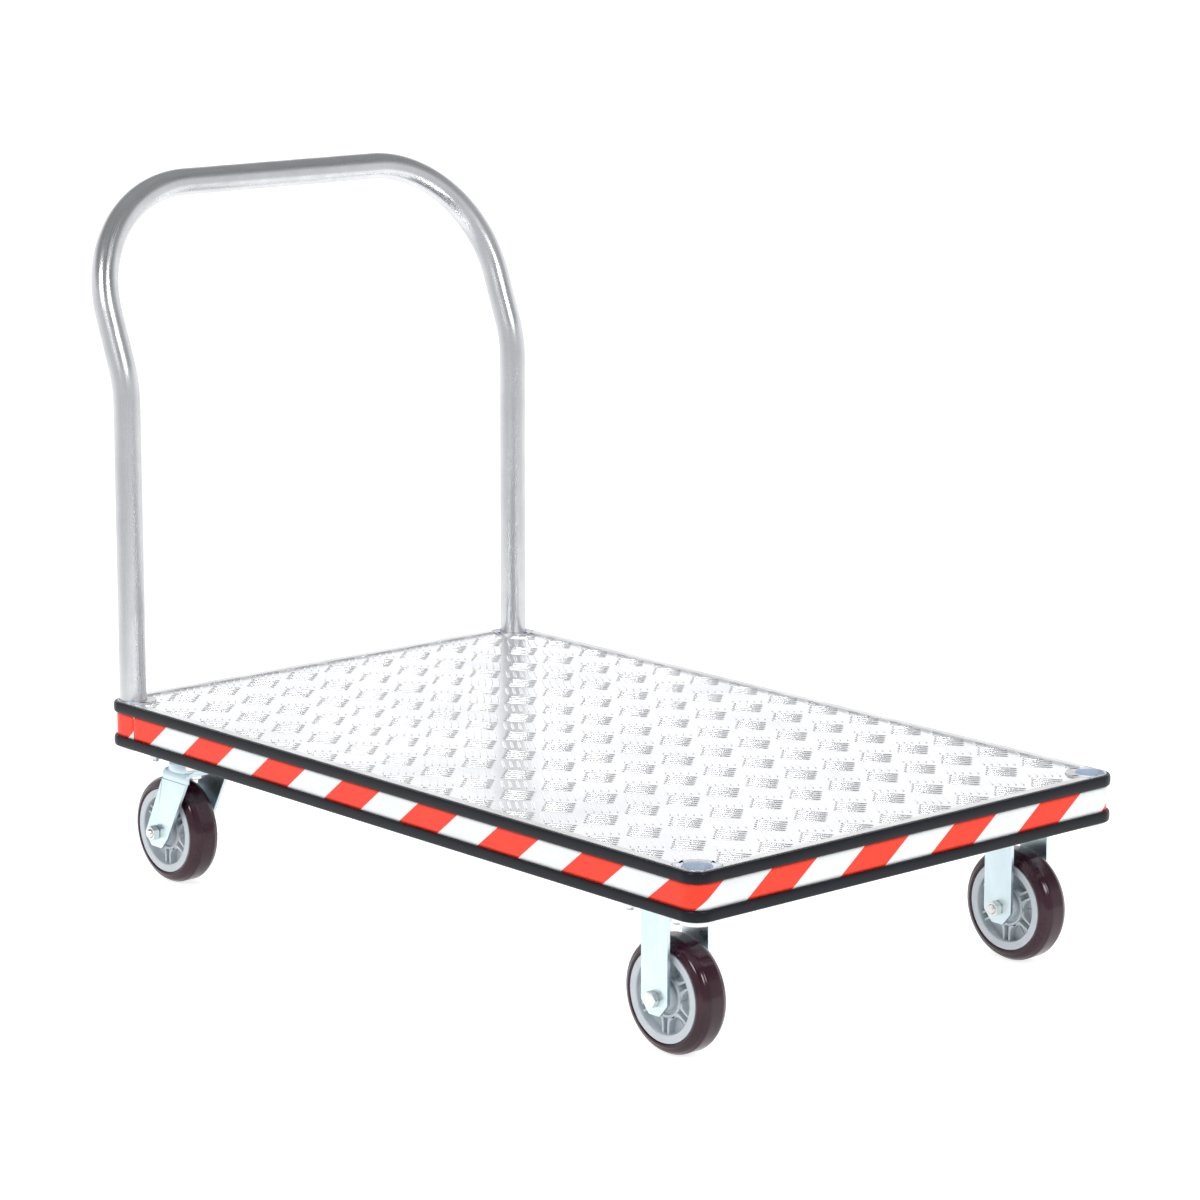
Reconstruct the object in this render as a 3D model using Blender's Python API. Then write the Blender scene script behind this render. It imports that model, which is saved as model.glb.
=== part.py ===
"""Flatbed platform truck: tread-plate deck in an extruded aluminium frame, bumper strips, lift-out tube
handle, two rigid casters at the front (+X) and two swivel casters at the handle end (-X).
Metres, +Z up, floor at z = 0, +X from the handle end to the front, +Y to the left of someone pushing."""

import math

import bmesh
import bpy
from mathutils import Matrix, Vector

# ---------------------------------------------------------------- main sizes
GAP = 0.0003                     # air left between pieces that touch
DECK_L, DECK_W = 1.232, 0.762    # over the bumpers
DECK_TOP = 0.264                 # top of the frame above the floor
DECK_H = 0.0635                  # height of the frame
CORNER_R = 0.028                 # outer radius of the bumper at a corner
SOCKET_IN = 0.028                # socket axis in from the outer bumper faces
BUMPER_D = 0.0053                # how far a bumper stands out of the frame
BUMPER_H = 0.0148
WALL = 0.003                     # frame wall
FLANGE = 0.012                   # flat top of the frame round the plate
RIM = 0.0012                     # how far that flat top stands above the bumper

TUBE_R, TUBE_T, TUBE_SIDES = 0.01905, 0.0022, 12
SOCKET_R = 0.0198
BOSS_R = 0.0280
RING_R = 0.0315                  # flat round top of a corner casting
BOSS_DROP = 0.0700               # boss bottom below the frame top
SOCKET_FLOOR = 0.005
KINK_Z = 0.4515                  # handle kink above the frame top
LEAN = math.radians(22.1)
KINK_R = 0.150
HANDLE_Z = 0.7143                # centreline of the top bar above the frame top
HANDLE_R = 0.182                 # centreline radius of the two top bends

PLATE_T = 0.003
PLATE_DOWN = 0.0015              # plate top below the frame top
LEDGE = 0.014

WHEEL_R = 0.0762
TYRE_W = 0.046
HUB_R = 0.0600
CASTER_X, CASTER_Y = 0.503, 0.3085
TRAIL = 0.047
PLATE_X, PLATE_Y, PLATE_TH = 0.114, 0.102, 0.006
BOLT_X, BOLT_Y = 0.043, 0.038
FORK_IN, FORK_T = 0.0315, 0.0055
AXLE_R = 0.006

# the box of the whole truck is centred on the origin
HANDLE_BACK = (HANDLE_Z - KINK_Z) * math.tan(LEAN)
POST_X = -DECK_L / 2 + SOCKET_IN
LOW_X = POST_X - HANDLE_BACK - TUBE_R
DX = -(LOW_X + DECK_L / 2) / 2   # x of the deck's centre

WEB_X = DECK_L / 2 - BUMPER_D    # outer face of the frame, from the deck's centre
WEB_Y = DECK_W / 2 - BUMPER_D
WEB_R = CORNER_R - BUMPER_D
SOCKET_X = DECK_L / 2 - SOCKET_IN
SOCKET_Y = DECK_W / 2 - SOCKET_IN
BOTTOM = DECK_TOP - DECK_H
PLATE_Z = BOTTOM - GAP           # top of the caster plates
ARM = 0.050                      # corner casting, along each side

for old in list(bpy.data.objects):
    bpy.data.objects.remove(old, do_unlink=True)

# ---------------------------------------------------------------- materials
FINISH = {
    "tread_aluminium": ((0.86, 0.87, 0.89), 0.34, 1.0),
    "rail_aluminium": ((0.83, 0.84, 0.86), 0.32, 1.0),
    "cast_aluminium": ((0.78, 0.79, 0.80), 0.45, 1.0),
    "tube_aluminium": ((0.80, 0.82, 0.85), 0.36, 1.0),
    "black_rubber": ((0.012, 0.014, 0.018), 0.55, 0.0),
    "reflective_tape": ((0.88, 0.10, 0.05), 0.35, 0.0),
    "zinc_steel": ((0.62, 0.71, 0.76), 0.30, 1.0),
    "bolt_steel": ((0.70, 0.71, 0.70), 0.28, 1.0),
    "bearing_steel": ((0.52, 0.53, 0.54), 0.30, 1.0),
    "grey_nylon": ((0.40, 0.46, 0.50), 0.50, 0.0),
    "maroon_polyurethane": ((0.055, 0.008, 0.022), 0.22, 0.0),
}


def material(name):
    if name in bpy.data.materials:
        return bpy.data.materials[name]
    made = bpy.data.materials.new(name)
    made.use_nodes = True
    shader = made.node_tree.nodes["Principled BSDF"]
    colour, rough, metal = FINISH[name]
    shader.inputs["Base Color"].default_value = (*colour, 1.0)
    shader.inputs["Roughness"].default_value = rough
    shader.inputs["Metallic"].default_value = metal
    made.diffuse_color = (*colour, 1.0)
    return made


# ---------------------------------------------------------------- shape helpers
def closed_object(name, bm, finish, origin=(0.0, 0.0, 0.0)):
    """The bmesh as an object whose faces point out, with its origin where it turns."""
    bmesh.ops.recalc_face_normals(bm, faces=bm.faces)
    if bm.calc_volume(signed=True) < 0:
        bmesh.ops.reverse_faces(bm, faces=bm.faces)
    mesh = bpy.data.meshes.new(name)
    bm.to_mesh(mesh)
    bm.free()
    made = bpy.data.objects.new(name, mesh)
    bpy.context.scene.collection.objects.link(made)
    if finish:
        mesh.materials.append(material(finish))
    set_origin(made, origin)
    shade(made)
    return made


def set_origin(obj, origin):
    obj.data.transform(Matrix.Translation(-Vector(origin)))
    obj.location = origin


def shade(obj):
    for face in obj.data.polygons:
        face.use_smooth = True
    obj.data.set_sharp_from_angle(angle=math.radians(33))


def loft(rings, closed_path=False, caps=True):
    """Skin over rings of the same number of points."""
    bm = bmesh.new()
    made = [[bm.verts.new(p) for p in ring] for ring in rings]
    n, m = len(made), len(made[0])
    for i in range(n if closed_path else n - 1):
        a, b = made[i], made[(i + 1) % n]
        for j in range(m):
            k = (j + 1) % m
            bm.faces.new((a[j], a[k], b[k], b[j]))
    if caps and not closed_path:
        bm.faces.new(made[0])
        bm.faces.new(list(reversed(made[-1])))
    return bm


def revolve(profile, centre, axis, segs, turn=0.0):
    """A closed (radius, along) profile swept a full turn; radius 0 points become poles."""
    bm = bmesh.new()
    c = Vector(centre)

    def place(r, a, t):
        u, v = r * math.cos(t), r * math.sin(t)
        if axis == "Y":
            return c + Vector((u, a, v))
        if axis == "X":
            return c + Vector((a, u, v))
        return c + Vector((u, v, a))

    cols = []
    poles = {i: bm.verts.new(place(0, a, 0)) for i, (r, a) in enumerate(profile) if r == 0}
    for s in range(segs):
        t = 2 * math.pi * s / segs + turn
        cols.append([poles[i] if r == 0 else bm.verts.new(place(r, a, t)) for i, (r, a) in enumerate(profile)])
    for s in range(segs):
        one, two = cols[s], cols[(s + 1) % segs]
        for i in range(len(profile)):
            k = (i + 1) % len(profile)
            corners = []
            for v in (one[i], one[k], two[k], two[i]):
                if v not in corners:
                    corners.append(v)
            if len(corners) > 2:
                bm.faces.new(corners)
    return bm


def prism(points, axis, lo, hi):
    """A polygon pulled along an axis. Points are (x, y), (x, z) or (y, z)."""
    def at(p, h):
        if axis == "Z":
            return (p[0], p[1], h)
        if axis == "Y":
            return (p[0], h, p[1])
        return (h, p[0], p[1])

    return loft([[at(p, lo) for p in points], [at(p, hi) for p in points]])


def box(x0, x1, y0, y1, z0, z1):
    return prism([(x0, y0), (x1, y0), (x1, y1), (x0, y1)], "Z", z0, z1)


def round_bar(x, y, r, z0, z1, segs, turn=0.0):
    pts = [(x + r * math.cos(2 * math.pi * i / segs + turn), y + r * math.sin(2 * math.pi * i / segs + turn)) for i in range(segs)]
    return prism(pts, "Z", z0, z1)


def cross_bar(x, z, r, y0, y1, segs, turn=0.0):
    pts = [(x + r * math.cos(2 * math.pi * i / segs + turn), z + r * math.sin(2 * math.pi * i / segs + turn)) for i in range(segs)]
    return prism(pts, "Y", y0, y1)


def combine(obj, steps):
    """Exact Booleans, in order: ('UNION' or 'DIFFERENCE', bmesh)."""
    helpers = []
    for i, (operation, bm) in enumerate(steps):
        cutter = closed_object(f"{obj.name}_tool_{i}", bm, None)
        cutter.hide_render = True
        cutter.display_type = "WIRE"
        step = obj.modifiers.new(f"step_{i}", "BOOLEAN")
        step.operation = operation
        step.solver = "EXACT"
        step.object = cutter
        helpers.append(cutter)
    bpy.context.view_layer.update()
    graph = bpy.context.evaluated_depsgraph_get()
    baked = bpy.data.meshes.new_from_object(obj.evaluated_get(graph))
    obj.modifiers.clear()
    obj.data = baked
    for cutter in helpers:
        bpy.data.objects.remove(cutter, do_unlink=True)
    shade(obj)
    return obj


def around(offset, steps=6):
    """Plan points of the frame's outline, moved out by offset."""
    pts = []
    for sx, sy, start in ((1, 1, 0), (-1, 1, 90), (-1, -1, 180), (1, -1, 270)):
        cx, cy = sx * (WEB_X - WEB_R), sy * (WEB_Y - WEB_R)
        for i in range(steps + 1):
            t = math.radians(start + 90 * i / steps)
            r = WEB_R + offset
            pts.append((DX + cx + r * math.cos(t), cy + r * math.sin(t)))
    return pts


def band(name, section, finish, steps=6):
    """A closed band round the frame; section is (offset out, z) points."""
    columns = [around(o, steps) for o, _ in section]
    rings = [[(*columns[j][i], section[j][1]) for j in range(len(section))] for i in range(len(columns[0]))]
    return closed_object(name, loft(rings, closed_path=True), finish)


# ---------------------------------------------------------------- deck
FRAME_TOP = DECK_TOP + RIM
notch = RING_R + GAP
in_x, in_y = WEB_X - FLANGE - GAP, WEB_Y - FLANGE - GAP
plate = closed_object(
    "tread_plate",
    box(DX - in_x, DX + in_x, -in_y, in_y, DECK_TOP - PLATE_DOWN - PLATE_T, DECK_TOP - PLATE_DOWN),
    "tread_aluminium",
)
combine(plate, [
    ("DIFFERENCE", round_bar(DX + sx * SOCKET_X, sy * SOCKET_Y, notch + 0.0004, DECK_TOP - 0.02, DECK_TOP + 0.02, 32))
    for sx in (1, -1) for sy in (1, -1)
])
# the horns left beside each round notch are sheared off square to the corner's diagonal
HORN = 0.0278
for sx in (1, -1):
    for sy in (1, -1):
        corner = [(-HORN - 0.03, 0.03), (0.03, -HORN - 0.03), (0.03, 0.03)]
        corner = [(DX + sx * (SOCKET_X + u), sy * (SOCKET_Y + v)) for u, v in corner]
        combine(plate, [("DIFFERENCE", prism(corner, "Z", DECK_TOP - 0.02, DECK_TOP + 0.02))])

ledge_top = DECK_TOP - PLATE_DOWN - PLATE_T - GAP


def rail_section(out):
    """C section: web, flat top, ledge under the plate and bottom flange. Points are (across, z); out is the web's outer face."""
    s = 1 if out > 0 else -1
    a, b, c, f = out, out - s * WALL, out - s * (WALL + LEDGE), out - s * FLANGE
    return [
        (a, BOTTOM), (a, FRAME_TOP), (f, FRAME_TOP), (f, ledge_top), (c, ledge_top), (c, ledge_top - WALL),
        (b, ledge_top - WALL), (b, BOTTOM + WALL), (c, BOTTOM + WALL), (c, BOTTOM),
    ]


side_end = DECK_L / 2 - ARM - GAP
end_end = DECK_W / 2 - ARM - GAP


def boss_cuts(corners):
    """Room in a rail's ledge and flange for the round bosses at its two ends."""
    return [
        ("DIFFERENCE", round_bar(DX + sx * SOCKET_X, sy * SOCKET_Y, r, z0, DECK_TOP + 0.01, 28))
        for sx, sy in corners
        for r, z0 in ((BOSS_R + 0.0004, BOTTOM - 0.01), (RING_R + 0.0006, ledge_top - 0.0001))
    ]


for name, s in (("left", 1), ("right", -1)):
    rail = closed_object(f"side_rail_{name}", prism(rail_section(s * WEB_Y), "X", DX - side_end, DX + side_end), "rail_aluminium")
    combine(rail, boss_cuts([(1, s), (-1, s)]))
for name, s in (("front", 1), ("rear", -1)):
    section = [(DX + a, z) for a, z in rail_section(s * WEB_X)]
    rail = closed_object(f"end_rail_{name}", prism(section, "Y", -end_end, end_end), "rail_aluminium")
    combine(rail, boss_cuts([(s, 1), (s, -1)]))

for name, sx, sy in (("front_left", 1, 1), ("front_right", 1, -1), ("rear_left", -1, 1), ("rear_right", -1, -1)):
    cx, cy = DX + sx * SOCKET_X, sy * SOCKET_Y
    low = DECK_TOP - BOSS_DROP

    def corner_points(centre_r, angles):
        return [(cx + sx * centre_r * math.cos(math.radians(t)), cy + sy * centre_r * math.sin(math.radians(t))) for t in angles]

    # an arm along each side, meeting in a rounded outer corner
    reach, far = DECK_L / 2 - ARM, DECK_W / 2 - ARM
    inner_x, inner_y = WEB_X - WALL - LEDGE, WEB_Y - WALL - LEDGE
    arms = corner_points(WEB_R, range(0, 91, 15)) + [
        (DX + sx * reach, sy * WEB_Y), (DX + sx * reach, sy * inner_y),
        (DX + sx * inner_x, sy * inner_y),
        (DX + sx * inner_x, sy * far), (DX + sx * WEB_X, sy * far),
    ]
    casting = closed_object(f"corner_casting_{name}", prism(arms, "Z", BOTTOM, FRAME_TOP), "cast_aluminium")
    # boss round the socket, kept just inside the outer faces
    skin = 0.0004
    def clipped(r, steps):
        side = math.degrees(math.acos((WEB_R - skin) / r))
        return corner_points(WEB_R - skin, range(0, 91, 15)) + corner_points(
            r, [90 + side + (270 - 2 * side) * i / steps for i in range(steps + 1)])

    xs = sorted((DX + sx * (reach - 0.02), DX + sx * (WEB_X - WALL)))
    ys = sorted((sy * (far - 0.02), sy * (WEB_Y - WALL)))
    combine(casting, [
        ("DIFFERENCE", box(*xs, *ys, ledge_top, DECK_TOP + 0.01)),
        ("UNION", prism(clipped(BOSS_R, 16), "Z", BOTTOM + 0.0005, DECK_TOP - 0.0001)),
        ("UNION", prism(clipped(RING_R, 16), "Z", ledge_top + 0.0002, FRAME_TOP - 0.0001)),
        ("UNION", round_bar(cx, cy, WEB_R - 0.0012, low, BOTTOM + 0.012, 20)),
        ("DIFFERENCE", round_bar(cx, cy, SOCKET_R, low + SOCKET_FLOOR, DECK_TOP + 0.01, 20)),
    ])

bump_in = 0.0004
for name, top in (("upper", DECK_TOP - 0.0002), ("lower", BOTTOM + BUMPER_H)):
    low = top - BUMPER_H
    d = BUMPER_D
    band(f"bumper_{name}", [
        (bump_in, low), (0.45 * d, low), (0.82 * d, low + 0.0022), (d, low + 0.0055),
        (d, top - 0.0055), (0.82 * d, top - 0.0022), (0.45 * d, top), (bump_in, top),
    ], "black_rubber")

tape_low, tape_top = BOTTOM + BUMPER_H + GAP, DECK_TOP - 0.0002 - BUMPER_H - GAP
tape = band("reflective_tape", [(bump_in, tape_low), (bump_in + 0.0005, tape_low), (bump_in + 0.0005, tape_top), (bump_in, tape_top)], "reflective_tape")
seam_x = DX - 0.555
combine(tape, [("DIFFERENCE", box(seam_x - 0.0004, seam_x + 0.0004, -DECK_W, -WEB_Y + 0.01, tape_low - 0.01, tape_top + 0.01))])

# cross-members that carry the casters
for name, sx in (("front", 1), ("rear", -1)):
    x = DX + sx * CASTER_X
    top, w, t = ledge_top, 0.0565, 0.004
    y = WEB_Y - WALL - LEDGE - GAP
    section = [
        (x - w, BOTTOM), (x + w, BOTTOM), (x + w, top), (x + w - 0.014, top), (x + w - 0.014, top - t),
        (x + w - t, top - t), (x + w - t, BOTTOM + 0.005), (x - w + t, BOTTOM + 0.005), (x - w + t, top - t),
        (x - w + 0.014, top - t), (x - w + 0.014, top), (x - w, top),
    ]
    member = closed_object(f"crossmember_{name}", prism(section, "Y", -y, y), "rail_aluminium")
    combine(member, [
        ("DIFFERENCE", round_bar(x + bx * BOLT_X, cy * CASTER_Y + by * BOLT_Y, 0.0055, BOTTOM - 0.01, BOTTOM + 0.02, 8))
        for cy in (1, -1) for bx in (1, -1) for by in (1, -1)
    ])

# ---------------------------------------------------------------- handle
def handle_path():
    """Centreline of one half, from the foot on the right (-Y) to the middle of the top bar."""
    pts = [Vector((0, -SOCKET_Y, DECK_TOP - BOSS_DROP + SOCKET_FLOOR + GAP))]
    cut = KINK_R * math.tan(LEAN / 2)
    z0 = DECK_TOP + KINK_Z - cut
    for i in range(5):
        a = LEAN * i / 4
        pts.append(Vector((-KINK_R * (1 - math.cos(a)), -SOCKET_Y, z0 + KINK_R * math.sin(a))))
    slope = Vector((-math.sin(LEAN), 0, math.cos(LEAN)))
    whole = (HANDLE_Z - KINK_Z) / math.cos(LEAN)
    kink = Vector((0, -SOCKET_Y, DECK_TOP + KINK_Z))
    bend = kink + slope * (whole - HANDLE_R)
    for i in range(11):
        a = math.pi / 2 * i / 10
        pts.append(bend + slope * (HANDLE_R * math.sin(a)) + Vector((0, HANDLE_R * (1 - math.cos(a)), 0)))
    return pts


half = handle_path()
mirrored = [Vector((p.x, -p.y, p.z)) for p in reversed(half)]
path = [Vector((p.x + DX + POST_X, p.y, p.z)) for p in half + mirrored]


def tube_rings(r, count, stretch):
    """Rings square to the path, turned as little as possible from one to the next."""
    rings, side = [], Vector((1, 0, 0))
    for i, p in enumerate(path):
        before = path[i] - path[i - 1] if i else path[1] - path[0]
        after = path[i + 1] - path[i] if i + 1 < len(path) else path[-1] - path[-2]
        along = (before.normalized() + after.normalized()).normalized()
        side = (side - along * side.dot(along)).normalized()
        up = along.cross(side)
        centre = p - along * stretch if i == 0 else p + along * stretch if i + 1 == len(path) else p
        rings.append([centre + side * r * math.cos(2 * math.pi * k / count) + up * r * math.sin(2 * math.pi * k / count) for k in range(count)])
    return rings


outer, inner = tube_rings(TUBE_R, TUBE_SIDES, 0.0), tube_rings(TUBE_R - TUBE_T, TUBE_SIDES, 0.0)
bm = bmesh.new()
shells = []
for rings in (outer, inner):
    made = [[bm.verts.new(p) for p in ring] for ring in rings]
    for a, b in zip(made, made[1:]):
        for j in range(TUBE_SIDES):
            k = (j + 1) % TUBE_SIDES
            bm.faces.new((a[j], a[k], b[k], b[j]))
    shells.append(made)
for end in (0, -1):
    for j in range(TUBE_SIDES):
        k = (j + 1) % TUBE_SIDES
        bm.faces.new((shells[0][end][j], shells[0][end][k], shells[1][end][k], shells[1][end][j]))
closed_object("handle", bm, "tube_aluminium", (DX + POST_X, 0, DECK_TOP))


# ---------------------------------------------------------------- casters
def hex_points(cx, cy, flats, turn=0.0):
    r = flats / math.sqrt(3)
    return [(cx + r * math.cos(math.pi / 3 * i + turn), cy + r * math.sin(math.pi / 3 * i + turn)) for i in range(6)]


def wheel(corner, x, y):
    """Tyre, ribbed hub and roller sleeve, all turning about the axle."""
    z = WHEEL_R
    w, r = TYRE_W / 2, WHEEL_R
    bore = HUB_R + GAP
    closed_object(f"{corner}_tyre", revolve([
        (bore, -w + 0.0015), (r - 0.013, -w), (r - 0.0045, -w + 0.0035), (r, -w + 0.0105),
        (r, w - 0.0105), (r - 0.0045, w - 0.0035), (r - 0.013, w), (bore, w - 0.0015),
    ], (x, y, z), "Y", 28, -math.pi / 2), "maroon_polyurethane", (x, y, z))
    rim, boss, long = 0.0485, 0.0195, 0.0300
    hub = closed_object(f"{corner}_hub", revolve([
        (0.0125, -long), (boss - 0.001, -long), (boss, -0.004), (rim + 0.001, -0.004), (rim, -w + 0.0012), (HUB_R, -w + 0.0002),
        (HUB_R, w - 0.0002), (rim, w - 0.0012), (rim + 0.001, 0.004), (boss, 0.004), (boss - 0.001, long), (0.0125, long),
    ], (x, y, z), "Y", 28, -math.pi / 2), "grey_nylon")
    ribs = []
    for i in range(6):
        a = math.pi / 3 * i + math.pi / 6
        for off in (-0.0052, 0.0052):
            u = Vector((math.cos(a), math.sin(a)))
            v = Vector((-u.y, u.x))
            ends = []
            for along, across in ((0.0165, off - 0.0016), (0.0515, off - 0.0016), (0.0515, off + 0.0016), (0.0165, off + 0.0016)):
                p = u * along + v * across
                ends.append((x + p.x, z + p.y))
            ribs.append(("UNION", prism(ends, "Y", y - w + 0.006, y + w - 0.006)))
    combine(hub, ribs)
    set_origin(hub, (x, y, z))
    closed_object(f"{corner}_roller_sleeve", revolve([
        (AXLE_R + 0.0004, -0.0292), (0.0122, -0.0292), (0.0122, 0.0292), (AXLE_R + 0.0004, 0.0292),
    ], (x, y, z), "Y", 16), "bearing_steel", (x, y, z))


def axle(corner, x, y, head):
    """Axle bolt, its head on side head (+1 is +Y), and the nut at its other end."""
    z = WHEEL_R
    face = FORK_IN + FORK_T + GAP
    bolt = closed_object(f"{corner}_axle_bolt", cross_bar(x, z, AXLE_R - 0.0001, y - head * (face + 0.0135), y + head * (face + 0.001), 12), "bolt_steel")
    combine(bolt, [("UNION", prism(hex_points(x, z, 0.019, math.pi / 6), "Y", *sorted((y + head * face, y + head * (face + 0.0078)))))])
    set_origin(bolt, (x, y, z))
    nut = closed_object(f"{corner}_axle_nut", prism(hex_points(x, z, 0.019), "Y", *sorted((y - head * face, y - head * (face + 0.0100)))), "bolt_steel")
    combine(nut, [("DIFFERENCE", cross_bar(x, z, AXLE_R + 0.0002, y - 0.1, y + 0.1, 12))])
    set_origin(nut, (x, y, z))


def top_plate(x, y):
    c = 0.008
    a, b = PLATE_X / 2, PLATE_Y / 2
    pts = [(a, b - c), (a - c, b), (-a + c, b), (-a, b - c), (-a, -b + c), (-a + c, -b), (a - c, -b), (a, -b + c)]
    return prism([(x + p, y + q) for p, q in pts], "Z", PLATE_Z - PLATE_TH, PLATE_Z)


def plate_holes(x, y):
    return [
        ("DIFFERENCE", round_bar(x + bx * BOLT_X, y + by * BOLT_Y, 0.0055, PLATE_Z - 0.02, PLATE_Z + 0.01, 8))
        for bx in (1, -1) for by in (1, -1)
    ]


def mounting_bolts(corner, x, y):
    """Hex bolt dropped through the cross-member and the caster plate, with its nut run up underneath."""
    number = 0
    for bx in (1, -1):
        for by in (1, -1):
            number += 1
            px, py = x + bx * BOLT_X, y + by * BOLT_Y
            head = BOTTOM + 0.005 + GAP
            under = PLATE_Z - PLATE_TH - GAP
            bolt = closed_object(f"{corner}_mount_bolt_{number}", round_bar(px, py, 0.0049, under - 0.0125, head + 0.002, 6), "bolt_steel")
            combine(bolt, [
                ("UNION", prism(hex_points(px, py, 0.016, math.pi / 6), "Z", head, head + 0.0064)),
                ("UNION", prism(hex_points(px, py, 0.016, math.pi / 6), "Z", under - 0.0088, under)),
            ])


leg_low = WHEEL_R - 0.0215


def leg_outline(x, top, ax, half_top, half_low):
    """Leg side view as (x, z): straight sides with the bottom corners cut off below the axle."""
    c = 0.0145
    return [
        (x - half_top, top), (ax - half_low, leg_low + c + 0.002), (ax - half_low + c, leg_low),
        (ax + half_low - c, leg_low), (ax + half_low, leg_low + c + 0.002), (x + half_top, top),
    ]


for corner, sy in (("front_left", 1), ("front_right", -1)):
    x, y = DX + CASTER_X, sy * CASTER_Y
    fork = closed_object(f"{corner}_rigid_fork", top_plate(x, y), "zinc_steel")
    steps = []
    for s in (1, -1):
        lo, hi = sorted((y + s * FORK_IN, y + s * (FORK_IN + FORK_T)))
        steps.append(("UNION", prism(leg_outline(x, PLATE_Z - 0.003, x, 0.024, 0.024), "Y", lo, hi)))
    steps += [("DIFFERENCE", cross_bar(x, WHEEL_R, AXLE_R + 0.0002, y - 0.1, y + 0.1, 12))] + plate_holes(x, y)
    combine(fork, steps)
    wheel(corner, x, y)
    axle(corner, x, y, sy)
    mounting_bolts(corner, x, y)

for corner, sy in (("rear_left", 1), ("rear_right", -1)):
    x, y = DX - CASTER_X, sy * CASTER_Y
    ax = x - TRAIL
    under = PLATE_Z - PLATE_TH
    plate = closed_object(f"{corner}_top_plate", top_plate(x, y), "zinc_steel")
    combine(plate, [
        ("UNION", revolve([(0, under + 0.003), (0.0370, under + 0.003), (0.0360, under - 0.0062), (0.0300, under - 0.0088), (0, under - 0.0088)], (x, y, 0), "Z", 20)),
        ("DIFFERENCE", round_bar(x, y, 0.0085, under - 0.03, PLATE_Z + 0.01, 12)),
        ("DIFFERENCE", round_bar(x, y, 0.0137, PLATE_Z - 0.0036, PLATE_Z + 0.01, 12)),
    ] + plate_holes(x, y))

    crown = under - 0.0092       # top of the turning part
    deck = crown - 0.0100        # top of the flat crown
    fork = closed_object(f"{corner}_swivel_fork", revolve([
        (0, crown), (0.0350, crown), (0.0375, crown - 0.003), (0.0375, deck - 0.002), (0, deck - 0.002),
    ], (x, y, 0), "Z", 20), "zinc_steel")
    half = FORK_IN + FORK_T
    r, i = 0.010, FORK_IN
    # crown bent down at both shoulders, then the two raked legs
    arch = [
        (y - half, deck - 0.016), (y - half, deck - r), (y - half + 0.003, deck - 0.003), (y - half + r, deck),
        (y + half - r, deck), (y + half - 0.003, deck - 0.003), (y + half, deck - r), (y + half, deck - 0.016),
        (y + i, deck - 0.016), (y + i, deck - 0.010), (y + i - 0.004, deck - 0.006),
        (y - i + 0.004, deck - 0.006), (y - i, deck - 0.010), (y - i, deck - 0.016),
    ]
    steps = [("UNION", prism(arch, "X", x - 0.029, x + 0.029))]
    for s in (1, -1):
        lo, hi = sorted((y + s * (FORK_IN + 0.0001), y + s * (half - 0.0001)))
        steps.append(("UNION", prism(leg_outline(x, deck - 0.0125, ax, 0.0288, 0.0265), "Y", lo, hi)))
    steps.append(("DIFFERENCE", round_bar(x, y, 0.0085, deck - 0.02, crown + 0.01, 12)))
    steps.append(("DIFFERENCE", cross_bar(ax, WHEEL_R, AXLE_R + 0.0002, y - 0.1, y + 0.1, 12)))
    combine(fork, steps)
    set_origin(fork, (x, y, deck))

    foot = deck - 0.006 - GAP
    pin = closed_object(f"{corner}_kingpin", round_bar(x, y, 0.0080, foot - 0.0110, PLATE_Z - 0.0010, 12), "bolt_steel")
    combine(pin, [
        ("UNION", round_bar(x, y, 0.0130, PLATE_Z - 0.0033, PLATE_Z - 0.0004, 12)),
        ("UNION", prism(hex_points(x, y, 0.024), "Z", foot - 0.0090, foot)),
    ])
    wheel(corner, ax, y)
    axle(corner, ax, y, 1)
    mounting_bolts(corner, x, y)
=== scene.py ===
"""Flatbed platform truck: the visual model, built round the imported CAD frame. Metres, +Z up."""

import math
import random

import bmesh
import bpy
import numpy as np
from mathutils import Matrix, Vector


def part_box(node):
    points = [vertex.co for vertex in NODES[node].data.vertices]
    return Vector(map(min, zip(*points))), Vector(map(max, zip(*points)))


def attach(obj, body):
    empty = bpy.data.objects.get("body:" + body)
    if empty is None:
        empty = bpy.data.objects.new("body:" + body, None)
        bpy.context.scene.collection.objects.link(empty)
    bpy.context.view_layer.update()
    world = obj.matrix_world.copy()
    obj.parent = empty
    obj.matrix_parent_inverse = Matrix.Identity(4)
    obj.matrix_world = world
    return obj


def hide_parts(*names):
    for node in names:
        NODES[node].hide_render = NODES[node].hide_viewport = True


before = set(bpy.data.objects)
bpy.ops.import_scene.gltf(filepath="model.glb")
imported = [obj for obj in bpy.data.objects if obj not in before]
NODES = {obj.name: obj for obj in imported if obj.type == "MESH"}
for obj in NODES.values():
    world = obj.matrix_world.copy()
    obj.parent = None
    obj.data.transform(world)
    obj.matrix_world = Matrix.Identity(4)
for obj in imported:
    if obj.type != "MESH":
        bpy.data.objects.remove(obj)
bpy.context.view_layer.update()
scene = bpy.context.scene

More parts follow.
